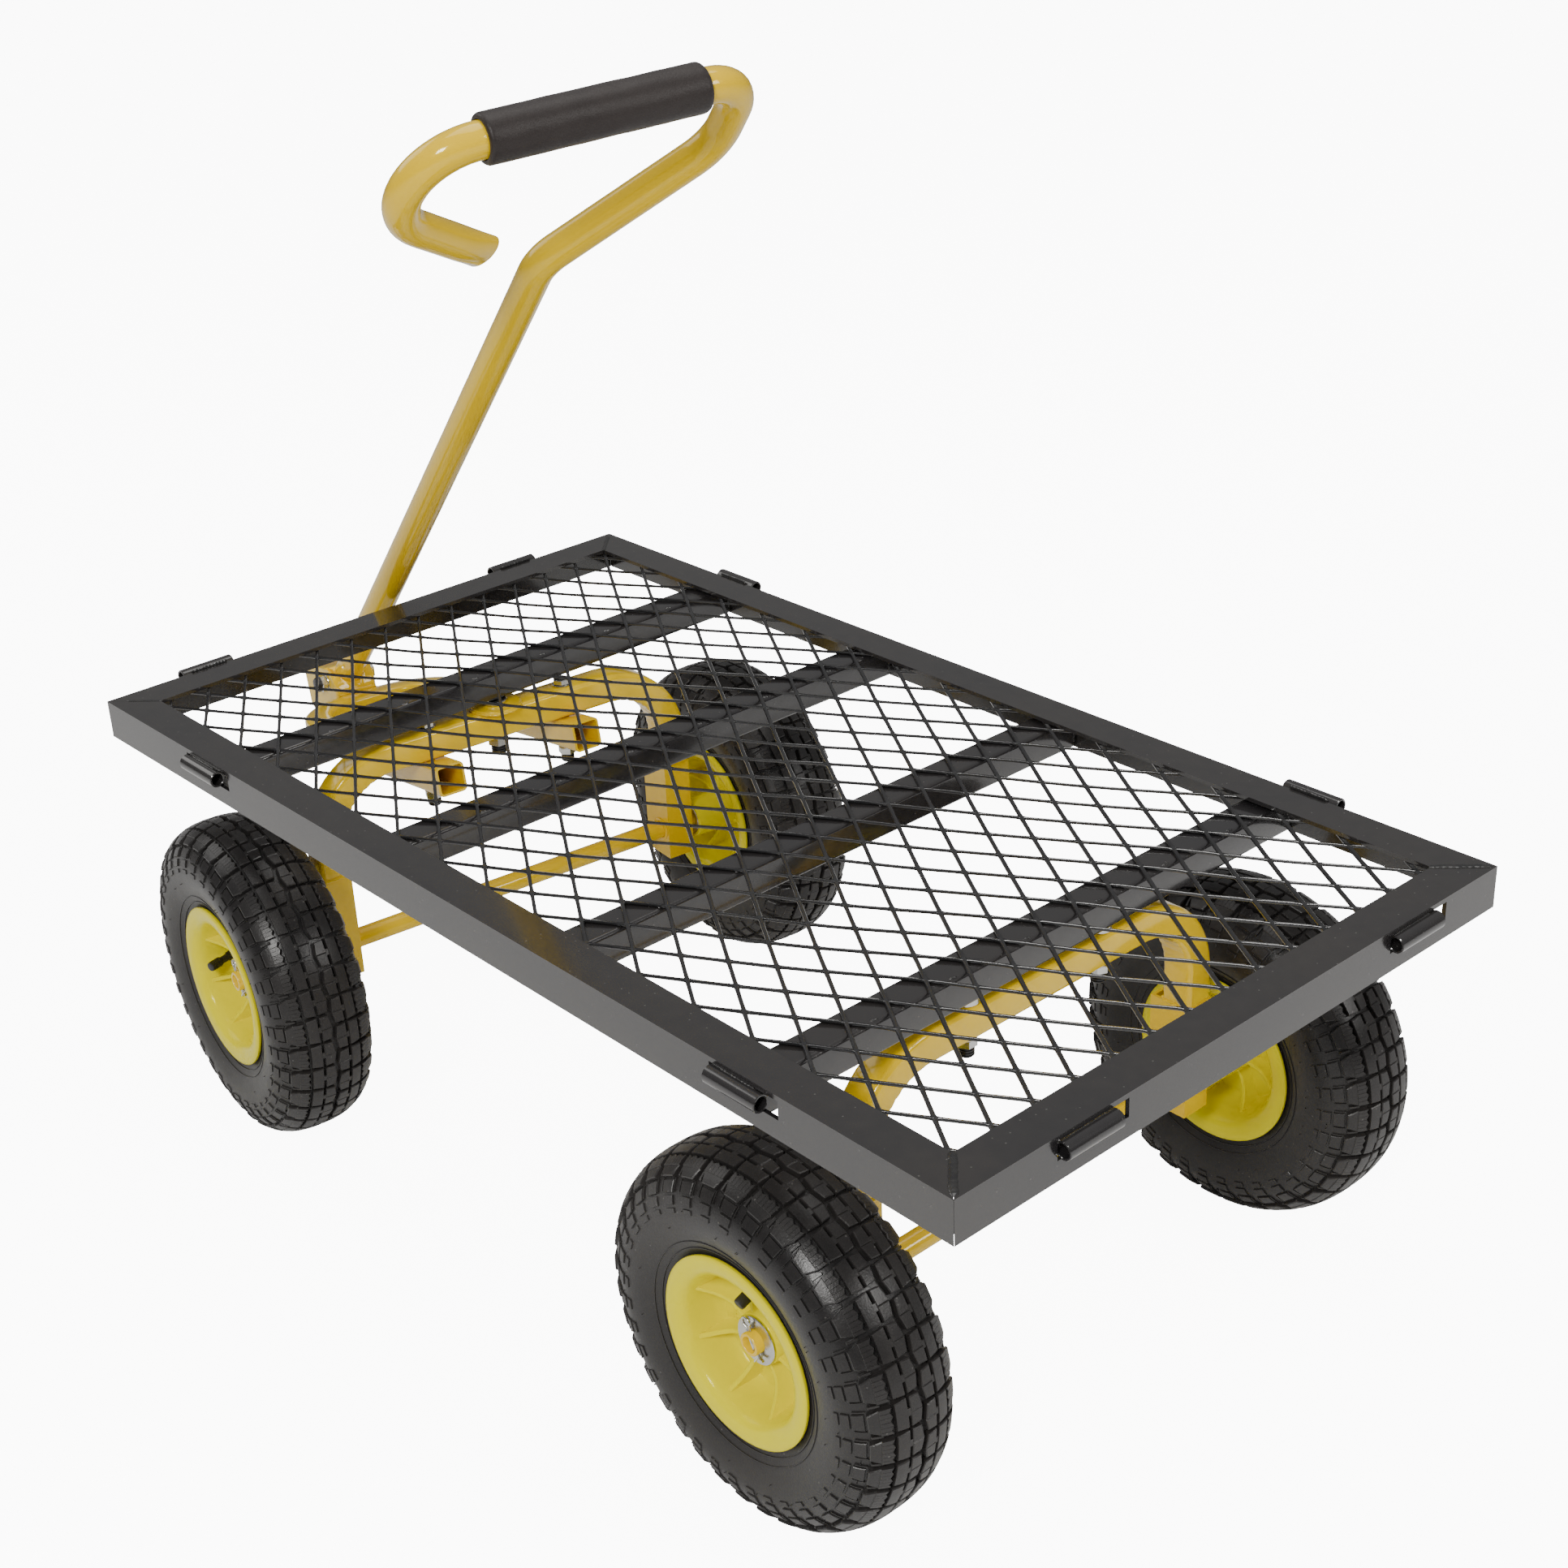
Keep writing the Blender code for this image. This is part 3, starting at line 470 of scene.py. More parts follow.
deck = dict(rowPitch=0.02685, columnPitch=0.0169, rows=34, columns=28, strandSeen=0.0025, sag=0.0032,
            railEdge=0.0009, studWelds={1: (-0.0055,), 4: (0.0632, -0.0632)}, memberSide=0.026,
            memberHeight=0.0245)
meshLow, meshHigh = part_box("deck_mesh")
memberLow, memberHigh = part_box("crossmember_1")
memberBottom, memberTop = memberLow.z, memberHigh.z
memberEnd = memberHigh.y
memberXs = [(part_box(f"crossmember_{n}")[0].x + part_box(f"crossmember_{n}")[1].x) / 2 for n in (1, 2, 3, 4)]

for name in ("rail_left", "rail_right", "rail_front", "rail_rear"):
    softenNode(name, deckBlack, deck["railEdge"], 40)


def meshSag(x, y):
    # how far the sheet hangs between the cross members and the frame
    supports = sorted(memberXs + [deckRear + 0.02, deckFront - 0.02])
    for a, b in zip(supports, supports[1:]):
        if a <= x <= b:
            bow = math.sin(math.pi * (x - a) / (b - a)) ** 1.5
            across = max(0.0, 1 - (abs(y) / 0.237) ** 3)
            wave = 0.65 + 0.5 * noise.noise(Vector((x * 7, y * 7, 1.7)))
            return deck["sag"] * bow * across * wave
    return 0.0


def buildDeckMesh():
    halfX, halfY = deck["rowPitch"], deck["columnPitch"]
    slope = math.atan2(halfY, halfX)
    width = deck["strandSeen"]
    nodeX, nodeY = width / 2 / math.sin(slope) * 1.12, width / 2 / math.cos(slope) * 1.12
    firstX = deckMiddle - halfX * deck["rows"] / 2
    firstY = -halfY * deck["columns"] / 2
    centreZ = (meshLow.z + meshHigh.z) / 2
    bm = bmesh.new()
    spots = {}
    for i in range(deck["rows"] + 1):
        for j in range(i % 2, deck["columns"] + 1, 2):
            spots[i, j] = Vector((firstX + i * halfX, firstY + j * halfY, centreZ))

    def strandBar(a, b, tilt):
        along = (b - a).normalized()
        side = Vector((-along.y, along.x, 0))
        rings = []
        for t in (-0.04, 0.03, 0.10, 0.22, 0.5, 0.78, 0.90, 0.97, 1.04):
            near = min(abs(t), abs(1 - t))
            wide = width / 2 * (1.0 + 0.40 * max(0.0, 1 - near / 0.14))
            lean = tilt * min(1.0, near / 0.12)
            rings.append((a.lerp(b, t), wide, lean))
        layers = []
        for centre, wide, lean in rings:
            ring = []
            for u, w in ((1.0, 0.55), (0.72, 1.0), (-0.72, 1.0), (-1.0, 0.55),
                         (-1.0, -0.55), (-0.72, -1.0), (0.72, -1.0), (1.0, -0.55)):
                spot = centre + side * (u * wide)
                spot.z += w * width * 0.44 + u * lean - meshSag(centre.x, centre.y)
                ring.append(spot)
            layers.append(ring)
        skin(bm, layers, caps=True)

    for (i, j), spot in spots.items():
        if (i + 1, j + 1) in spots:
            strandBar(spot, spots[i + 1, j + 1], 0.00038)
        if (i + 1, j - 1) in spots:
            strandBar(spot, spots[i + 1, j - 1], -0.00038)
        # knuckle where the strands meet
        rings = []
        for drop, grow in ((0.46, 0.86), (0.30, 1.0), (-0.30, 1.0), (-0.46, 0.86)):
            z = centreZ + drop * width - meshSag(spot.x, spot.y)
            rings.append([Vector((spot.x + a * nodeX * grow * 1.15, spot.y + b * nodeY * grow, z))
                          for a, b in ((1, 0), (0.42, 0.62), (0, 0.86), (-0.42, 0.62),
                                       (-1, 0), (-0.42, -0.62), (0, -0.86), (0.42, -0.62))])
        skin(bm, rings, caps=True)
    addPiece("expandedMesh", bm, meshBlack, "chassis", ("deck_mesh",), smooth=48)


buildDeckMesh()


def buildCrossMembers():
    outer = [(a, b * deck["memberHeight"] / deck["memberSide"]) for a,
             b in roundedSquare(deck["memberSide"], 0.0032)]
    inner = [(a, b * 0.94) for a, b in roundedSquare(deck["memberSide"] - 0.003, 0.0018)]
    centreZ = (memberBottom + memberTop) / 2
    for number, x in enumerate(memberXs, start=1):
        bm = bmesh.new()
        ys = [-memberEnd + 2 * memberEnd * k / 60 for k in range(61)]
        outside, inside = [], []
        for y in ys:
            dip = 0.00025 * noise.noise(Vector((y * 14, number * 3.0, 0)))
            outside.append([Vector((x + a, y, centreZ + b - abs(dip))) for a, b in outer])
            inside.append([Vector((x + a, y, centreZ + b)) for a, b in inner])
        tubeSkin(bm, outside, inside)
        addPiece(f"crossTube{number}", bm, deckBlack, "chassis", (f"crossmember_{number}",), smooth=40)
        bm = bmesh.new()
        for side in (-1, 1):
            for edge in (-1, 1):
                edgeX = x + edge * (deck["memberSide"] / 2 - 0.0008)
                weldBead(bm, [(edgeX, side * (memberEnd + 0.0002), memberBottom + 0.004),
                              (edgeX, side * (memberEnd + 0.0002), memberTop - 0.003)], 0.0021,
                         seed=number + side, lift=Vector((edge, 0, 0)))
            weldBead(bm, [(x - 0.009, side * (memberEnd - 0.0004), memberTop - 0.0012),
                          (x + 0.009, side * (memberEnd - 0.0004), memberTop - 0.0012)], 0.0016,
                          seed=number * 2 + side)
        # tack welds that hold the sheet down on the member
        for k in range(-3, 4):
            tackY = k * 4 * deck["columnPitch"] + 0.0169
            if abs(tackY) < 0.23:
                weldBead(bm, [(x - 0.0105, tackY - 0.002, memberTop - 0.0004),
                              (x - 0.0095, tackY + 0.004, memberTop - 0.0003)], 0.0013, seed=k + number)
        # a larger puddled bead across the member, over each row of studs
        for beadY in deck["studWelds"].get(number, ()):
            weldBead(bm, [(x - 0.0100, beadY - 0.0075, memberTop - 0.0010),
                          (x + 0.0100, beadY + 0.0075, memberTop - 0.0010)], 0.0024, 0.0045,
                     seed=number * 7 + beadY, flatten=0.5)
        addPiece(f"memberWelds{number}", bm, weldBlack, "chassis")


buildCrossMembers()


def buildSleeves():
    for side in ("left", "right", "front", "rear"):
        for number in (1, 2):
            node = f"panel_sleeve_{side}_{number}"
            low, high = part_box(node)
            middle = (Vector(low) + Vector(high)) / 2
            lengthwise = side in ("left", "right")
            half = ((high.x - low.x) if lengthwise else (high.y - low.y)) / 2
            radius = (high.z - low.z) / 2
            bore = radius - 0.0017
            turn = Matrix.Rotation(-math.pi / 2 if lengthwise else 0, 4, 'Z')
            place = Matrix.Translation(middle) @ turn
            bm = bmesh.new()
            profile = [(bore + 0.0004, -half), (radius - 0.0005, -half), (radius, -half + 0.0005),
                       (radius, half - 0.0005), (radius - 0.0005, half), (bore + 0.0004, half),
                       (bore, half - 0.0004), (bore, -half + 0.0004)]
            lathe(bm, profile, 36, place, closed=True)
            addPiece(f"hingeSleeve{side.capitalize()}{number}", bm, deckBlack, "chassis", (node,))
            outward = {"left": (0, 1), "right": (0, -1), "front": (1, 0), "rear": (-1, 0)}[side]
            out = Vector((*outward, 0))
            along = Vector((1, 0, 0)) if lengthwise else Vector((0, 1, 0))
            # the left and rear sleeves sit in notches, the other two lie against the rail
            face = middle - out * (0.0018 if side in ("left", "rear") else 0.0060)
            bm = bmesh.new()
            for lift, reach in ((radius * 0.80, 0.016), (-radius * 0.86, 0.013)):
                spot = face + Vector((0, 0, lift))
                weldBead(bm, [spot - along * reach, spot + along * reach], 0.0014, seed=number + lift * 900,
                         lift=out)
            addPiece(f"sleeveWeld{side.capitalize()}{number}", bm, weldBlack, "chassis")


buildSleeves()


def buildCornerWelds():
    flange = 0.0305
    layout = (("RearLeft", -1, 1, 0.0028, 1.0), ("FrontLeft", 1, 1, 0.0013, 0.68),
              ("RearRight", -1, -1, 0.0026, 1.0), ("FrontRight", 1, -1, 0.0018, 0.9))
    for name, sx, sy, radius, share in layout:
        cornerX = deckRear if sx < 0 else deckFront
        outer = Vector((cornerX - sx * 0.0022, sy * (deckSide - 0.0022), deckTop + 0.0001))
        inner = Vector((cornerX - sx * (flange + 0.001), sy * (deckSide - flange - 0.001), deckTop + 0.0001))
        bm = bmesh.new()
        weldBead(bm, [inner, inner.lerp(outer, share)], radius, 0.0042, seed=sx * 3 + sy, flatten=0.33)
        weldBead(bm, [outer + Vector((0, 0, -0.0018)), outer + Vector((0, 0, -0.024))], radius * 0.85, 0.0045,
                 seed=sx * 5 + sy, flatten=0.7, lift=Vector((sx, sy, 0)).normalized())
        addPiece(f"cornerWeld{name}", bm, weldBlack, "chassis")


buildCornerWelds()
print("deck made")


# wheels

tyre = dict(pitches=36, radius=0.125, depth=0.0042, vents=150)
casing = [(0.1258, 0.0), (0.1255, 0.0085), (0.1243, 0.0165), (0.1213, 0.0245), (0.1160, 0.0320),
          (0.1090, 0.0372), (0.1000, 0.0402), (0.0900, 0.0402), (0.0800, 0.0378), (0.0715, 0.0344),
          (0.0668, 0.0323), (0.0640, 0.0316), (0.0600, 0.0306), (0.0553, 0.0291)]


def smoothCurve(points, per):
    # Catmull-Rom through (radius, y) points
    pts = [Vector(p) for p in points]
    pts = [pts[0] * 2 - pts[1]] + pts + [pts[-1] * 2 - pts[-2]]
    out = []
    for a, b, c, d in zip(pts, pts[1:], pts[2:], pts[3:]):
        for k in range(per):
            t = k / per
            out.append(0.5 * ((2 * b) + (c - a) * t + (2 * a - 5 * b + 4 * c - d) * t * t
                              + (3 * b - 3 * c + d - a) * t ** 3))
    out.append(pts[-2])
    return out


casingCurve = smoothCurve(casing, 4)
casingLengths = [0.0]
for a, b in zip(casingCurve, casingCurve[1:]):
    casingLengths.append(casingLengths[-1] + (b - a).length)


def onCasing(s):
    # (radius, y) and outward normal at arc length s from the crown; negative s is the other side
    side = 1 if s >= 0 else -1
    s = min(abs(s), casingLengths[-1] - 1e-5)
    k = max(i for i, length in enumerate(casingLengths[:-1]) if length <= s)
    t = (s - casingLengths[k]) / (casingLengths[k + 1] - casingLengths[k])
    point = casingCurve[k].lerp(casingCurve[k + 1], t)
    along = (casingCurve[k + 1] - casingCurve[k]).normalized()
    normal = Vector((abs(along.y), -along.x)) if along.x <= 0 else Vector((along.y, -along.x))
    return point.x, point.y * side, normal.x, normal.y * side


casingTable = {}


def tyrePoint(u, s, h):
    # 3D point at pitch u, arc length s, height h over the casing
    key = round(s, 6)
    if key not in casingTable:
        casingTable[key] = onCasing(s)
    radius, y, nr, ny = casingTable[key]
    angle = 2 * math.pi * u / tyre["pitches"]
    r = radius + nr * h
    return Vector((r * math.sin(angle), y + ny * h, -r * math.cos(angle)))


def addBlock(bm, corners, height, across=3, along=2, bevel=0.0006):
    # raised block; corners are (u, s) in order, height over the casing
    pitchLength = 2 * math.pi * tyre["radius"] / tyre["pitches"]
    middle = Vector((sum(c[0] for c in corners) / 4, sum(c[1] for c in corners) / 4))

    def inset(corner, amount):
        u, s = corner
        du, ds = u - middle.x, s - middle.y
        reach = max(1e-6, math.hypot(du * pitchLength, ds))
        k = 1 - amount * 1.3 / reach
        return middle.x + du * k, middle.y + ds * k

    def grid(edge, h):
        a, b, c, d = edge
        rows = []
        for i in range(across + 1):
            row = []
            for j in range(along + 1):
                p, q = i / across, j / along
                u = (1 - p) * ((1 - q) * a[0] + q * b[0]) + p * ((1 - q) * d[0] + q * c[0])
                s = (1 - p) * ((1 - q) * a[1] + q * b[1]) + p * ((1 - q) * d[1] + q * c[1])
                row.append(tyrePoint(u, s, h))
            rows.append(row)
        return rows

    def border(rows):
        return (rows[0][:-1] + [row[-1] for row in rows[:-1]]
                + rows[-1][:0:-1] + [row[0] for row in rows[:0:-1]])

    topRows = grid([inset(c, bevel) for c in corners], height)
    middleRing = border(grid(corners, height - bevel))
    footRing = border(grid([inset(c, -0.0003) for c in corners], -0.0012))
    top = [[bm.verts.new(p) for p in row] for row in topRows]
    for r0, r1 in zip(top, top[1:]):
        for i in range(len(r0) - 1):
            bm.faces.new((r0[i], r0[i + 1], r1[i + 1], r1[i]))
    topBorder = border(top)
    mid = [bm.verts.new(p) for p in middleRing]
    foot = [bm.verts.new(p) for p in footRing]
    count = len(topBorder)
    for i in range(count):
        j = (i + 1) % count
        bm.faces.new((topBorder[i], topBorder[j], mid[j], mid[i]))
        bm.faces.new((mid[i], mid[j], foot[j], foot[i]))


shoulder = [(0.10, 0.0206), (0.24, 0.0222), (0.38, 0.0206), (0.52, 0.0222), (0.66, 0.0206), (0.80, 0.0222),
            (0.90, 0.0208)]


def straightBlock(low, high, near, far):
    return (low, near), (high, near), (high, far), (low, far)


# one tread pitch on one side: (u, s) corners, height, then addBlock's grid counts and bevel
treadBlocks = [
    # centre block: two halves with a bridge, its inner edge zigzagging along the middle line
    (((0.06, 0.0026), (0.50, 0.0008), (0.50, 0.0094), (0.03, 0.0094)), tyre["depth"]),
    (((0.50, 0.0008), (0.90, 0.0026), (0.93, 0.0094), (0.50, 0.0094)), tyre["depth"]),
    (straightBlock(0.38, 0.60, 0.0090, 0.0122), tyre["depth"] * 0.86, 1, 1, 0.0003),
    (((0.02, 0.0114), (0.94, 0.0114), (0.90, 0.0192), (0.06, 0.0192)), tyre["depth"], 2, 4),
    # zigzag shoulder
    *((((ua, sa), (ub + 0.004, sb), (ub + 0.004, 0.0280), (ua, 0.0280)), tyre["depth"] * 0.96, 2, 1, 0.0003)
      for (ua, sa), (ub, sb) in zip(shoulder, shoulder[1:])),
    (((0.10, 0.0278), (0.904, 0.0278), (0.78, 0.0345), (0.22, 0.0345)), tyre["depth"] * 0.86, 3, 3, 0.0006),
    # short bar between the shoulder lugs
    (straightBlock(0.97, 1.05, 0.0262, 0.0335), tyre["depth"] * 0.45, 1, 1, 0.0004),
    # raised bars down the sidewall
    (((0.22, 0.0362), (0.78, 0.0362), (0.76, 0.0436), (0.24, 0.0436)), 0.0015, 2, 2, 0.0004),
    (((0.25, 0.0452), (0.75, 0.0452), (0.74, 0.0510), (0.26, 0.0510)), 0.0011, 2, 2, 0.0003),
    (((0.28, 0.0530), (0.74, 0.0530), (0.72, 0.0562), (0.30, 0.0562)), 0.0008, 1, 2, 0.0003),
    # thin ribs that frame each lug
    (straightBlock(0.13, 0.165, 0.0350, 0.0430), 0.0010, 2, 1, 0.0002),
    (straightBlock(0.82, 0.855, 0.0350, 0.0430), 0.0010, 2, 1, 0.0002),
]


def treadPitch(bm, start, side):
    for corners, height, *grid in treadBlocks:
        addBlock(bm, [(start + u, side * s) for u, s in corners], height, *grid)


def buildTyreMesh():
    bm = bmesh.new()
    rightHalf = [(p.x, -p.y) for p in reversed(casingCurve[1:])]
    profile = rightHalf + [(p.x, p.y) for p in casingCurve]
    # close under the beads
    profile = [(0.0553, -0.0270)] + profile + [(0.0553, 0.0270)]
    lathe(bm, profile, 144, closed=True)
    for side in (-1, 1):
        for n in range(tyre["pitches"]):
            treadPitch(bm, n + (0.5 if side < 0 else 0.0), side)
        # moulding lines near the bead
        for radius, y in ((0.0702, 0.0339), (0.0755, 0.0361)):
            lathe(bm, [(radius - 0.0004, side * (y - 0.0012)), (radius - 0.0002, side * (y + 0.0006)),
                       (radius + 0.0002, side * (y + 0.0006)), (radius + 0.0004, side * (y - 0.0012))], 144,
                  closed=True)
    # mould vents
    for k in range(tyre["vents"]):
        s = random.choice((-1, 1)) * random.choice((0.021, 0.0345, 0.0395, 0.048, 0.0545, 0.066))
        u = random.random() * tyre["pitches"]
        height = 0.0008 + random.random() * 0.0014
        if abs(s) > 0.04:
            height = min(height, 0.0013)
        rings = []
        for level, radius in ((-0.001, 0.0004), (height, 0.00028)):
            rings.append([tyrePoint(u + radius * math.cos(a) / 0.0218, s + radius * math.sin(a), level)
                          for a in (0, 1.257, 2.513, 3.770, 5.027)])
        skin(bm, rings, caps=True)
    return toMesh(bm, "tyreTread")


rim = dict(ribs=8, bosses=4, bossRadius=0.033)


def buildRimMesh():
    # outer side is +Y
    bm = bmesh.new()
    outer = [(0.0530, 0.0), (0.0530, 0.0290), (0.0590, 0.0308), (0.0640, 0.0322), (0.0654, 0.0330),
             (0.0659, 0.0342), (0.0657, 0.0354), (0.0648, 0.0362), (0.0628, 0.0365), (0.0590, 0.0362),
             (0.0555, 0.0353), (0.0530, 0.0340), (0.0512, 0.0320), (0.0500, 0.0290), (0.0490, 0.0230),
             (0.0482, 0.0120), (0.0472, 0.0062), (0.0455, 0.0038), (0.0420, 0.0032), (0.0250, 0.0032),
             (0.0205, 0.0036), (0.0188, 0.0050), (0.0180, 0.0080), (0.0176, 0.0150), (0.0170, 0.0158),
             (0.0150, 0.0160), (0.0140, 0.0160), (0.0138, 0.0140), (0.0085, 0.0140)]
    inner = [(0.0085, -0.0490), (0.0138, -0.0490), (0.0140, -0.0500), (0.0158, -0.0500), (0.0165, -0.0492),
             (0.0172, -0.0300), (0.0182, -0.0070), (0.0205, -0.0036), (0.0440, -0.0032), (0.0465, -0.0060),
             (0.0480, -0.0180), (0.0492, -0.0280), (0.0512, -0.0325), (0.0545, -0.0352), (0.0600, -0.0364),
             (0.0640, -0.0363), (0.0657, -0.0352), (0.0659, -0.0340), (0.0648, -0.0326), (0.0590, -0.0308),
             (0.0530, -0.0290)]
    lathe(bm, outer + inner, 96, closed=True)
    for number in range(rim["ribs"]):
        turn = Matrix.Rotation(2 * math.pi * (number + 0.5) / rim["ribs"], 4, 'Y')
        for side, hubHigh, barrelHigh in ((1, 0.0145, 0.0235), (-1, 0.0150, 0.0200)):
            rings = []
            for k in range(13):
                t = k / 12
                radius = 0.0165 + (0.0495 - 0.0165) * t
                crest = hubHigh + (barrelHigh - hubHigh) * t - 0.0045 * math.sin(math.pi * min(1, t * 1.15))
                if t > 0.75:
                    crest += 0.003 * ((t - 0.75) / 0.25) ** 2
                root, tip = 0.0028, 0.0014
                section = [(-root - 0.0012, 0.0025), (-root, 0.0042), (-tip - 0.0002, crest - 0.0006),
                           (-tip * 0.6, crest), (tip * 0.6, crest), (tip + 0.0002, crest - 0.0006), (root,
                           0.0042), (root + 0.0012, 0.0025)]
                rings.append([turn @ Vector((radius, side * y, across)) for across, y in section])
            skin(bm, rings, caps=True)
    # shallow round bosses on the disc
    for number in range(rim["bosses"]):
        angle = 2 * math.pi / rim["bosses"] * number + 0.20
        centre = Matrix.Rotation(angle, 4, 'Y') @ Matrix.Translation((rim["bossRadius"], 0, 0))
        lathe(bm, [(0.0036, 0.0028), (0.0036, 0.0044), (0.0030, 0.0050), (0.0016, 0.0050), (0.0014, 0.0040)],
              20, centre)
    return toMesh(bm, "rimMould")


def copyPiece(name, source, material, body, place, replaces, smooth):
    mesh = source.copy()
    mesh.name = name
    finishPiece(mesh, name, material, body, replaces, place, smooth)


def buildValve(name, place, body, node):
    bm = bmesh.new()
    lean = Vector((-0.35, 0.94, 0)).normalized()
    foot = Vector((0.0420, 0.0095, 0))
    turn = lean.to_track_quat('Y', 'Z').to_matrix().to_4x4()
    local = place @ Matrix.Translation(foot) @ turn
    lathe(bm, [(0.0042, -0.006), (0.0040, 0.002), (0.0031, 0.0040), (0.0029, 0.0120)], 24, local)
    # cap with fine knurling
    profile = [(0.0024, 0.0110), (0.0037, 0.0112), (0.0040, 0.0120), (0.0040, 0.0205), (0.0036, 0.0218),
               (0.0026, 0.0222)]
    rings = []
    for step in range(72):
        angle = 2 * math.pi * step / 72
        ridge = 1.0 if step % 3 else 0.93
        across = Vector((math.sin(angle), 0, -math.cos(angle)))
        rings.append([local @ (across * radius * (ridge if 0.0119 < y < 0.0206 else 1.0) + Vector((0, y, 0)))
                      for radius, y in profile])
    layers = [[bm.verts.new(p) for p in ring] for ring in rings]
    for first, second in zip(layers, layers[1:] + layers[:1]):
        for i in range(len(profile) - 1):
            bm.faces.new((first[i], first[i + 1], second[i + 1], second[i]))
    bm.faces.new([layer[0] for layer in layers])
    bm.faces.new([layer[-1] for layer in layers])
    addPiece(name, bm, blackPlastic, body, (node,), smooth=30)


tyreMesh = buildTyreMesh()
rimMesh = buildRimMesh()
valveTurn = {"rear_left": -90, "front_left": 0, "rear_right": 45, "front_right": 180}


def buildWheel(word):
    joint = joints[f"wheel_{word}_spin"]
    body = joint["child"]
    axle = Matrix.Translation(Vector(joint["pos_m"]))
    if word.startswith("front"):
        axle = axle @ Matrix.Rotation(steerRest, 4, 'Z')
    outward = axle if word.endswith("left") else axle @ Matrix.Rotation(math.pi, 4, 'Z')
    label = "".join(part.capitalize() for part in word.split("_"))
    spin = Matrix.Rotation(math.radians(37 * len(word)), 4, 'Y')
    copyPiece(f"tyre{label}", tyreMesh, tyreRubber, body, outward @ spin, (f"wheel_{word}_tyre",), 32)
    turn = Matrix.Rotation(math.radians(valveTurn[word]), 4, 'Y')
    copyPiece(f"rim{label}", rimMesh, rimYellow, body, outward, (f"wheel_{word}_rim",), 38)
    buildValve(f"valve{label}", outward @ turn, body, f"wheel_{word}_valve_stem")
    # polished bearing rings at both ends of the hub
    bm = bmesh.new()
    for base, bulge, end, lip in ((0.0135, 0.0142, 0.0152, 0.0146), (-0.0480, -0.0492, -0.0502, -0.0496)):
        lathe(bm,
              [(0.0088, base), (0.0132, base), (0.0136, bulge), (0.0132, end), (0.0100, end), (0.0090, lip)],
              48, outward, closed=True)
    addPiece(f"bearing{label}", bm, zincPlate, body)


for word in ("rear_left", "rear_right", "front_left", "front_right"):
    buildWheel(word)
print("wheels made")


# axles, arches and brackets

arch = dict(halfSpan=0.1625, bend=0.0625, top=0.2945, legBottom=0.1953, side=0.025, corner=0.0042, wall=0.002)


def buildArch(name, node, place, body):
    centreZ = arch["top"] - arch["side"] / 2
    corners = [(-arch["halfSpan"], arch["legBottom"]), (-arch["halfSpan"], centreZ),
               (arch["halfSpan"], centreZ), (arch["halfSpan"], arch["legBottom"])]
    points = splitLong(filletPath(corners, arch["bend"], 16), 0.006)

    def inBend(point):
        # 1 in the middle of a bend, 0 on the straights
        y, z = abs(point.x), point.y
        if y < 0.098 or z < 0.218:
            return 0.0
        angle = math.atan2(z - (centreZ - arch["bend"]), y - (arch["halfSpan"] - arch["bend"]))
        return max(0.0, math.sin(2 * max(0.0, min(math.pi / 2, angle)))) ** 0.6

    def reshape(number, across, depth):
        bend = inBend(points[number])
        wrinkle = 0.0004 * math.sin(number * 2.1) * bend
        if across < 0:
            across *= 1 - 0.10 * bend
            depth *= 1 + 0.05 * bend * min(1.0, abs(across) / 0.0125)
            across -= wrinkle
        else:
            across *= 1 - 0.04 * bend
        return across, depth

    outer = sweepRings(points, roundedSquare(arch["side"], arch["corner"]), lambda a, b, d: Vector((d, a, b)),
                       reshape)
    inner = sweepRings(points, roundedSquare(arch["side"] - 2 * arch["wall"], 0.002),
                       lambda a, b, d: Vector((d, a, b)), reshape)
    bm = bmesh.new()
    tubeSkin(bm, outer, inner)
    addPiece(name, bm, frameYellow, body, (node,), place, 38)


def buildBracketWelds(name, place, body):
    bm = bmesh.new()
    for side in (-1, 1):
        middle = side * arch["halfSpan"]
        z = arch["legBottom"] + 0.0002
        ring = [(-0.0122, -0.0122), (0.0122, -0.0122), (0.0122, 0.0122), (-0.0122, 0.0122),
                (-0.0122, -0.0122)]
        points = [Vector((x, middle + y, z)) for x, y in ring]
        for n, (a, b) in enumerate(zip(points, points[1:])):
            weldBead(bm, [a, b], 0.0019, seed=n + side * 4.0, lift=Vector((0, 0, 1)))
        for face in (-1, 1):
            weldRing(bm, (0, middle + face * 0.0128, wheelHeight), (0, face, 0), 0.0088, 0.0019,
                     seed=side + face)
    for vert in bm.verts:
        vert.co = place @ vert.co
    addPiece(name, bm, frameYellow, body)


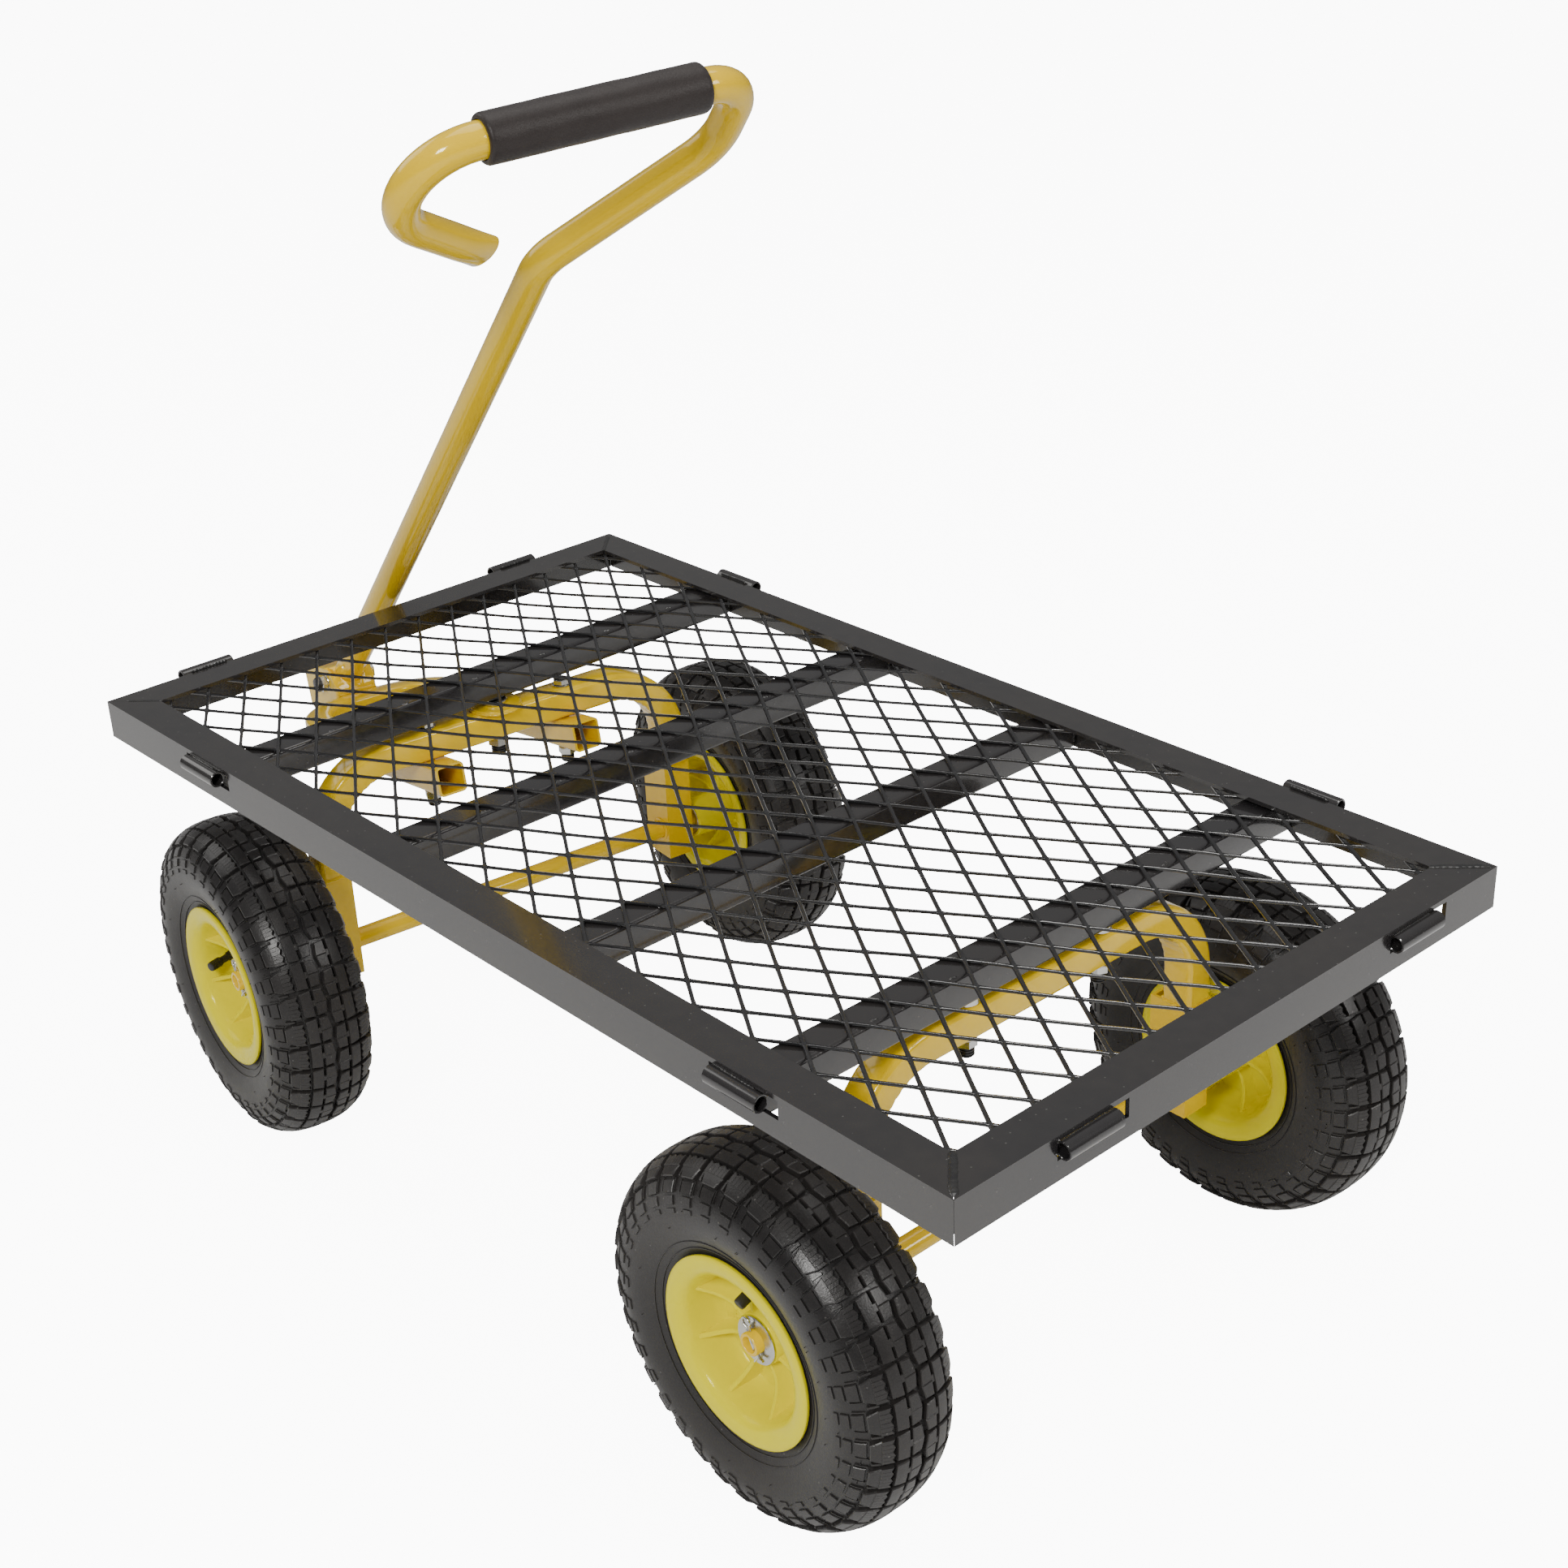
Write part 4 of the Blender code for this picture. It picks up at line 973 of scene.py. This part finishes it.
def buildAxle(prefix, place, body):
    half = axleHalf
    bm = bmesh.new()
    profile = [(0.0058, -half), (0.0076, -half), (0.0080, -half + 0.0005), (0.0080, half - 0.0005),
               (0.0076, half), (0.0058, half), (0.0055, half - 0.0004), (0.0055, -half + 0.0004)]
    centre = place @ Matrix.Translation((0, 0, wheelHeight))
    lathe(bm, profile, 40, centre, closed=True)
    addPiece(f"{prefix}AxleTube", bm, frameYellow, body, (f"{prefix}_axle",), smooth=40)
    for side, word in ((1, "left"), (-1, "right")):
        bm = bmesh.new()
        seat = half - 0.0075
        lathe(bm, [(0.0084, side * seat), (0.0166, side * seat), (0.0170, side * (seat + 0.0004)),
                   (0.0170, side * (seat + 0.0012)), (0.0166, side * (seat + 0.0016)),
                   (0.0084, side * (seat + 0.0016))],
              48, centre, closed=True)
        addPiece(f"{prefix}Washer{word.capitalize()}", bm, zincPlate, body, (f"{prefix}_axle_washer_{word}",),
                 smooth=40)
        bm = bmesh.new()
        pinY = side * (half - 0.0036)
        lean = Matrix.Rotation(math.radians(24), 4, 'Y')
        eye = [Vector((0.0009, 0, -0.0105))]
        eye += [Vector((0.0034 * math.sin(a), 0, 0.0138 - 0.0034 * math.cos(a)))
                for a in [math.pi * 2 * k / 14 for k in range(1, 14)]]
        eye.append(Vector((-0.0009, 0, -0.0105)))
        eye.insert(0, Vector((0.0040, side * 0.0002, -0.0128)))
        eye.append(Vector((-0.0048, side * 0.0002, -0.0120)))
        wirePath(bm, [centre @ Matrix.Translation((0, pinY, 0)) @ lean @ p for p in eye], 0.0011)
        addPiece(f"{prefix}SplitPin{word.capitalize()}", bm, zincPlate, body, (f"{prefix}_split_pin_{word}",),
                 smooth=60)


def wirePath(bm, points, radius, segments=10):
    rings = []
    for number, point in enumerate(points):
        along = (points[min(number + 1, len(points) - 1)] - points[max(number - 1, 0)]).normalized()
        if rings:
            side = (side - along * side.dot(along)).normalized()
        else:
            side = along.orthogonal().normalized()
        up = along.cross(side)
        rings.append([point + (side * math.cos(2 * math.pi * k / segments)
                               + up * math.sin(2 * math.pi * k / segments)) * radius
                      for k in range(segments)])
    skin(bm, rings, caps=True)


rearFrame = Matrix.Translation((rearAxleX, 0, 0))
buildArch("rearArchTube", "rear_arch", rearFrame, "chassis")
buildArch("frontArchTube", "front_arch", steerFrame, frontAxle)
buildBracketWelds("rearBracketWelds", rearFrame, "chassis")
buildBracketWelds("frontBracketWelds", steerFrame, frontAxle)
for node in ("rear_bracket_left", "rear_bracket_right", "front_bracket_left", "front_bracket_right"):
    softenNode(node, frameYellow)
buildAxle("rear", rearFrame, "chassis")
buildAxle("front", steerFrame, frontAxle)


def ribbedCap(bm, radius, top, height, place):
    # push-on thread cap with rings
    profile = [(radius * 0.80, top), (radius, top - 0.0003)]
    z = top - 0.0012
    while z > top - height + 0.0022:
        profile += [(radius, z), (radius * 0.86, z - 0.0004), (radius * 0.86, z - 0.0008),
                    (radius, z - 0.0012)]
        z -= 0.0020
    profile += [(radius, top - height + 0.0012), (radius * 0.82, top - height + 0.0002),
                (radius * 0.4, top - height)]
    discOn(bm, [(r, -h) for r, h in profile], place @ Matrix.Rotation(math.pi, 4, 'X'), 32)


def buildFastener(name, node, place, body, spec):
    # head or collar, shank, nut below and a black cap on the thread
    bm = bmesh.new()
    if spec["head"]:
        hexPrism(bm, spec["head"], spec["seat"] + 0.0012, spec["seat"] + 0.0056, place, turn=spec["turn"])
        discOn(bm, [(0.0046, spec["seat"]), (0.0076, spec["seat"]), (0.0078, spec["seat"] + 0.0006),
                    (0.0076, spec["seat"] + 0.0012), (0.0046, spec["seat"] + 0.0012)], place)
    else:
        radius = spec["collar"]
        discOn(bm, [(radius - 0.0005, spec["seat"]), (radius, spec["seat"] + 0.0005),
                    (radius, spec["top"] - 0.0005),
                    (radius - 0.0005, spec["top"])], place)
    shank = spec["shank"]
    discOn(bm, threadProfile(shank, spec["nut"] - 0.001, spec["seat"] + 0.0006), place, 28)
    hexPrism(bm, spec["nutFlats"], spec["nut"] - spec["nutHeight"], spec["nut"] - 0.0010, place,
             turn=0.3 + spec["turn"])
    discOn(bm, [(shank, spec["nut"] - 0.0011), (spec["nutFlats"] / 2 + 0.0006, spec["nut"] - 0.0011),
                (spec["nutFlats"] / 2 + 0.0008, spec["nut"] - 0.0004), (spec["nutFlats"] / 2, spec["nut"])],
                place)
    addPiece(name, bm, zincPlate, body, (node,), smooth=32)
    bm = bmesh.new()
    ribbedCap(bm, spec["cap"], spec["nut"] - spec["nutHeight"] + 0.0002, spec["capHeight"], place)
    addPiece(name + "Cap", bm, blackPlastic, body, smooth=30)


archTop, archBottom = arch["top"], arch["top"] - arch["side"]
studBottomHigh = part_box("rear_bolt_left")[1].z
rearBoltX = (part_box("rear_bolt_left")[0].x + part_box("rear_bolt_left")[1].x) / 2
boltOut = (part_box("rear_bolt_left")[0].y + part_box("rear_bolt_left")[1].y) / 2
for side, word in ((1, "left"), (-1, "right")):
    spec = dict(head=0, collar=0.0090, seat=archTop + gap, top=studBottomHigh, shank=0.0040,
                nut=archBottom - gap, nutHeight=0.0070, nutFlats=0.0130, cap=0.0055, capHeight=0.0080,
                turn=0.2 * side)
    buildFastener(f"rearStud{word.capitalize()}", f"rear_bolt_{word}",
                  Matrix.Translation((rearBoltX, side * boltOut, 0)), "chassis", spec)
    under = tongueZ - 0.0125 - 0.0024
    spec = dict(head=0.0128, seat=archTop + gap, shank=0.0040, nut=under, nutHeight=0.0070, nutFlats=0.0130,
                cap=0.0055, capHeight=0.0075, turn=0.5 + side)
    buildFastener(f"tongueBolt{word.capitalize()}", f"tongue_bolt_{word}",
                  steerFrame @ Matrix.Translation((0, side * boltOut, 0)), frontAxle, spec)
spec = dict(head=0, collar=0.0100, seat=archTop + 0.0033, top=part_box("kingpin")[1].z, shank=0.0050,
            nut=archBottom - gap, nutHeight=0.0085, nutFlats=0.0160, cap=0.0065, capHeight=0.0085, turn=0.1)
buildFastener("kingpinStud", "kingpin", Matrix.Translation((kingpinX, 0, 0)), "chassis", spec)

bm = bmesh.new()
plateLow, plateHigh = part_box("pivot_plate")[0].z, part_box("pivot_plate")[1].z
discOn(bm, [(0.0056, plateLow), (0.0206, plateLow), (0.0209, plateLow + 0.0005), (0.0209, plateHigh - 0.0006),
            (0.0204, plateHigh), (0.0056, plateHigh)], steerFrame, 64, closed=True)
weldRing(bm, steerFrame @ Vector((0, 0, plateLow + 0.0004)), (0, 0, 1), 0.0206, 0.0017, sweep=5.6, seed=4)
addPiece("pivotDisc", bm, frameYellow, frontAxle, ("pivot_plate",), smooth=40)
print("running gear made")


# tongue and clevis

tongue = dict(rear=-0.0356, front=0.2568, halfSpan=0.0635, bend=0.050, clevisBack=0.2696, clevisLength=0.0664,
              clevisTop=0.036, webTop=0.019, cheekIn=0.016, wall=0.004, pivotU=0.2907, pivotW=0.0232)


def buildTongue():
    corners = [(tongue["rear"], tongue["halfSpan"]), (tongue["front"], tongue["halfSpan"]),
               (tongue["front"], -tongue["halfSpan"]), (tongue["rear"], -tongue["halfSpan"])]
    points = splitLong(filletPath(corners, tongue["bend"], 14), 0.008)

    def place(a, b, depth):
        return tongueFrame @ Vector((a, b, depth))

    outer = sweepRings(points, roundedSquare(0.025, 0.0038), place)
    inner = sweepRings(points, roundedSquare(0.021, 0.0020), place)
    bm = bmesh.new()
    tubeSkin(bm, outer, inner)
    addPiece("tongueTubeLoop", bm, frameYellow, frontAxle, ("tongue_tube",), smooth=38)
    # threads seen through the open ends
    bm = bmesh.new()
    for side in (-1, 1):
        place = steerFrame @ Matrix.Translation((0, side * tongue["halfSpan"], 0))
        discOn(bm, threadProfile(0.00405, tongueZ - 0.0118, tongueZ + 0.0118, 0.0012, 0.0006), place, 28)
    addPiece("tongueBoltThreads", bm, zincPlate, frontAxle, smooth=30)


def buildClevis():
    back, wall, cheek = tongue["clevisBack"], tongue["wall"], tongue["cheekIn"]
    reach = back + tongue["clevisLength"]
    outer = cheek + wall
    bm = bmesh.new()
    corner = 0.0045
    plan = []
    for v, turn in ((outer, 1), (-outer, -1)):
        arc = []
        for k in range(7):
            angle = math.pi / 2 * k / 6
            arc.append((back + corner - corner * math.sin(angle),
                        turn * (outer - corner + corner * math.cos(angle))))
        plan.append(arc)
    innerPlan = []
    fillet = 0.0008
    quarter = [math.pi / 2 * k / 3 for k in range(4)]
    for turn in (1, -1):
        innerPlan.append([(back + wall + fillet - fillet * math.sin(angle),
                           turn * (cheek - fillet + fillet * math.cos(angle))) for angle in quarter])
    outline = [(reach, outer)] + plan[0] + plan[1][::-1] + [(reach, -outer), (reach, -cheek)]
    outline += innerPlan[1] + innerPlan[0][::-1] + [(reach, cheek)]
    low, high = -0.0125, tongue["clevisTop"]

    def topAt(u, v):
        # the web is lower than the cheeks, and the cheeks' front corners are clipped
        if abs(v) < cheek and u < back + wall + 0.001:
            return tongue["webTop"]
        if u < back + 0.012 and abs(v) >= cheek - 0.001:
            rise = min(1.0, max(0.0, (u - back) / 0.011))
            return tongue["webTop"] + (high - tongue["webTop"]) * rise
        return high

    dense = []
    for n, (a, b) in enumerate(zip(outline, outline[1:] + outline[:1])):
        a, b = Vector(a), Vector(b)
        parts = max(1, math.ceil((b - a).length / 0.0035))
        dense += [a.lerp(b, k / parts) for k in range(parts)]
    rings = []
    for level in range(7):
        t = level / 6
        ring = []
        for p in dense:
            top = topAt(p.x, p.y)
            w = low + (top - low) * t
            # the lower front corner is cut back
            cutBack = max(0.0, (p.x - (reach - 0.010)) / 0.010)
            w = max(w, low + 0.010 * cutBack * (1 - t))
            ring.append(Vector((p.x, p.y, w)))
        rings.append(ring)
    layers = skin(bm, rings)
    for layer in (layers[0], layers[-1]):
        face = bm.faces.new(layer)
        bmesh.ops.triangulate(bm, faces=[face])
    piece = addPiece("clevisStrap", bm, frameYellow, frontAxle, ("tongue_clevis",), tongueFrame, 34)
    softenEdges(piece, 0.0007, 2, 55, False)
    # fillet welds to the tongue
    bm = bmesh.new()
    for side in (-1, 1):
        weldBead(bm, [(back + 0.0003, side * (outer - 0.001), low + 0.001),
                      (back + 0.0003, side * (outer - 0.001), 0.0118)],
                 0.0024, seed=side, lift=Vector((0, side, 0)))
    weldBead(bm, [(back + 0.0001, -outer + 0.002, 0.0126), (back + 0.0001, outer - 0.002, 0.0126)], 0.0022,
             seed=9)
    weldBead(bm, [(back + 0.0001, -outer + 0.002, low + 0.0005),
                  (back + 0.0001, outer - 0.002, low + 0.0005)], 0.0020, seed=6)
    addPiece("clevisWelds", bm, frameYellow, frontAxle, place=tongueFrame)

    # pivot pin: hex head on the left, nut and cap on the right
    pin = tongueFrame @ Matrix.Translation((tongue["pivotU"], 0,
                                            tongue["pivotW"])) @ Matrix.Rotation(-math.pi / 2, 4, 'X')
    bm = bmesh.new()
    discOn(bm, [(0.0048, -0.0262), (0.0050, -0.0258), (0.0050, 0.0205)], pin, 32)
    hexPrism(bm, 0.0145, 0.0210, 0.0266, pin)
    hexPrism(bm, 0.0145, -0.0262, -0.0210, pin, turn=0.4)
    for seat in (0.0199, -0.0211):
        discOn(bm, [(0.0052, seat), (0.0080, seat), (0.0083, seat + 0.0006), (0.0080, seat + 0.0012),
                    (0.0052, seat + 0.0012)],
               pin, 40)
    addPiece("handlePinBolt", bm, zincPlate, frontAxle, ("handle_pin",), smooth=32)
    bm = bmesh.new()
    discOn(bm, [(0.0066, 0.0264), (0.0068, 0.0270), (0.0068, 0.0290), (0.0058, 0.0305), (0.0030, 0.0309)],
           pin, 32)
    addPiece("handlePinCap", bm, blackPlastic, frontAxle, smooth=35)


buildTongue()
buildClevis()


# handle

handle = dict(radius=0.0125, bore=0.0110, tail=0.010, grip=0.0172, gripBore=0.0131,
              corners=[(0, 0.629), (-0.106, 0.7318), (-0.103, 0.8009), (0.1268, 0.7784), (0.1427, 0.7163)],
              bends=[0.034, 0.045, 0.030, 0.045, 0.045], freeEnd=(0.0540, 0.6562),
              gripEnds=((-0.0680, 0.79747), (0.0940, 0.78161)))


def buildHandle():
    corners = [(0, -handle["tail"]), *handle["corners"], handle["freeEnd"]]
    points = splitLong(filletPath(corners, handle["bends"], 14), 0.008)
    last = len(points) - 1

    def reshape(number, across, depth):
        # the free end is crimped flatter and wider
        crimp = max(0.0, 1 - (last - number) / 4) ** 1.5
        ripple = 1 + 0.004 * math.sin(number * 1.3)
        return across * (1 + 0.16 * crimp) * ripple, depth * (1 - 0.38 * crimp)

    def place(a, b, depth):
        return handleFrame @ Vector((depth, a, b))

    outer = sweepRings(points, circleSection(handle["radius"], 36), place, reshape)
    inner = sweepRings(points, circleSection(handle["bore"], 36), place, reshape)
    bm = bmesh.new()
    tubeSkin(bm, outer, inner)
    addPiece("handleTubeLoop", bm, frameYellow, "handle", ("handle_tube",), smooth=40)

    # foam sleeve with soft lips and shallow dents
    right, left = (Vector((0, *end)) for end in handle["gripEnds"])
    turn = (left - right).to_track_quat('Y', 'Z').to_matrix().to_4x4()
    centre = handleFrame @ Matrix.Translation((left + right) / 2) @ turn
    half = (left - right).length / 2
    bm = bmesh.new()
    stations = [-half, -half + 0.0003, -half + 0.001, -half + 0.0022, -half + 0.004]
    stations += [-half + 0.004 + (2 * half - 0.008) * k / 60 for k in range(1, 60)]
    stations += [half - 0.004, half - 0.0022, half - 0.001, half - 0.0003, half]
    lips = {0: -0.0028, 1: -0.0016, 2: -0.0008, 3: -0.0002, 4: 0.0}
    rings = []
    for number, y in enumerate(stations):
        edge = min(number, len(stations) - 1 - number)
        radius = handle["grip"] - 0.0003 + lips.get(edge, 0.0)
        ring = []
        for k in range(64):
            angle = 2 * math.pi * k / 64
            dent = 0.00028 * noise.noise(Vector((y * 60, math.cos(angle) * 1.3, math.sin(angle) * 1.3)))
            dent += 0.0001 * noise.noise(Vector((y * 400, math.cos(angle) * 6, math.sin(angle) * 6)))
            r = radius + dent
            ring.append(centre @ Vector((r * math.cos(angle), y, r * math.sin(angle))))
        rings.append(ring)
    inside = [[centre @ Vector((a, y, b)) for a, b in circleSection(handle["gripBore"], 64)]
              for y in (-half, half)]
    tubeSkin(bm, rings, inside)
    grip = addPiece("foamGrip", bm, gripFoam, "handle", ("handle_grip",), smooth=50)

    bm = bmesh.new()
    for side in (-1, 1):
        lathe(bm, [(0.0052, side * 0.0128), (0.0114, side * 0.0128), (0.0119, side * 0.0133), (0.0119,
                   side * 0.0152), (0.0114, side * 0.0157), (0.0052, side * 0.0157)], 40, handleFrame,
                   closed=True)
    addPiece("handleSpacers", bm, blackPlastic, "handle", ("handle_spacer_left", "handle_spacer_right"),
             smooth=40)


buildHandle()
print("handle made")


# studio

studio = dict(backdrop=11.0, floorGlow=10.0, horizon=0.08, zenith=0.42, floorSize=14.0)


def buildStudio():
    bm = bmesh.new()
    bmesh.ops.create_grid(bm, x_segments=2, y_segments=2, size=studio["floorSize"])
    mesh = bpy.data.meshes.new("floor")
    bm.to_mesh(mesh)
    bm.free()
    floor = bpy.data.objects.new("floor", mesh)
    bpy.context.scene.collection.objects.link(floor)
    floor.location.z = -0.0005
    material = bpy.data.materials.new("paleFloor")
    material.use_nodes = True
    tree = material.node_tree
    shader = tree.nodes["Principled BSDF"]
    mottle = addNode(tree, 'ShaderNodeGroup', node_tree=mottleGroup)
    setIn(mottle, {"Color A": (0.93, 0.93, 0.93, 1), "Color B": (0.90, 0.90, 0.90, 1), "Scale": 1.5})
    link(mottle, "Color", shader, "Base Color")
    setIn(shader, {"Roughness": 0.9, "Emission Color": (1, 1, 1, 1)})
    rays = addNode(tree, 'ShaderNodeLightPath')
    glow = addNode(tree, 'ShaderNodeMath', operation='MULTIPLY')
    glow.inputs[1].default_value = studio["floorGlow"]
    link(rays, "Is Camera Ray", glow, 0)
    link(glow, 0, shader, "Emission Strength")
    mesh.materials.append(material)

    world = bpy.data.worlds.new("studio")
    bpy.context.scene.world = world
    world.use_nodes = True
    tree = world.node_tree
    background = tree.nodes["Background"]
    # darker towards the horizon, so that glossy black keeps its contrast
    coords = addNode(tree, 'ShaderNodeTexCoord')
    split = addNode(tree, 'ShaderNodeSeparateXYZ')
    dome = addNode(tree, 'ShaderNodeMapRange')
    setIn(dome, {"From Min": -0.1, "From Max": 0.9, "To Min": studio["horizon"],
                 "To Max": studio["zenith"]})
    rays = addNode(tree, 'ShaderNodeLightPath')
    choose = addNode(tree, 'ShaderNodeMix')
    setIn(choose, {"B": studio["backdrop"]})
    link(coords, "Generated", split, "Vector")
    link(split, "Z", dome, "Value")
    link(rays, "Is Camera Ray", choose, "Factor")
    link(dome, "Result", choose, "A")
    link(choose, "Result", background, "Strength")
    setIn(background, {"Color": (1, 1, 1, 1)})

    lamps = (("keyLight", (-1.7, 2.5, 2.6), 0.75, 84.0), ("fillLight", (2.6, 1.0, 2.4), 1.8, 20.0),
             ("rearLight", (-2.8, -0.9, 2.0), 0.9, 34.0), ("topLight", (0.2, -0.4, 3.4), 2.0, 34.0))
    for name, spot, size, power in lamps:
        lamp = bpy.data.lights.new(name, 'AREA')
        lamp.shape = 'SQUARE'
        lamp.size = size
        lamp.energy = power
        lamp.color = (1.0, 0.985, 0.96)
        light = bpy.data.objects.new(name, lamp)
        light.location = spot
        aim = Vector((0, 0, 0.25)) - Vector(spot)
        light.rotation_euler = aim.to_track_quat('-Z', 'Y').to_euler()
        bpy.context.scene.collection.objects.link(light)


view = dict(azimuth=229.0143, elevation=26.3154, roll=-2.6311, lens=54.04, stand=(-1.1794, 0.9774, 1.0804))


def buildCamera():
    azimuth, elevation, roll = (math.radians(view[a]) for a in ("azimuth", "elevation", "roll"))
    back = Vector((math.sin(azimuth) * math.cos(elevation), -math.cos(azimuth) * math.cos(elevation),
                   math.sin(elevation)))
    right = Vector((0, 0, 1)).cross(back).normalized()
    up = back.cross(right)
    rolledRight = right * math.cos(roll) + up * math.sin(roll)
    rolledUp = up * math.cos(roll) - right * math.sin(roll)
    camera = bpy.data.objects.new("camera", bpy.data.cameras.new("camera"))
    camera.data.lens = view["lens"]
    camera.data.sensor_width = 36.0
    turn = Matrix((rolledRight, rolledUp, back)).transposed().to_4x4()
    camera.matrix_world = Matrix.Translation(Vector((deckMiddle, 0, 0)) + Vector(view["stand"])) @ turn
    bpy.context.scene.collection.objects.link(camera)
    bpy.context.scene.camera = camera


buildStudio()
buildCamera()
print("studio made")
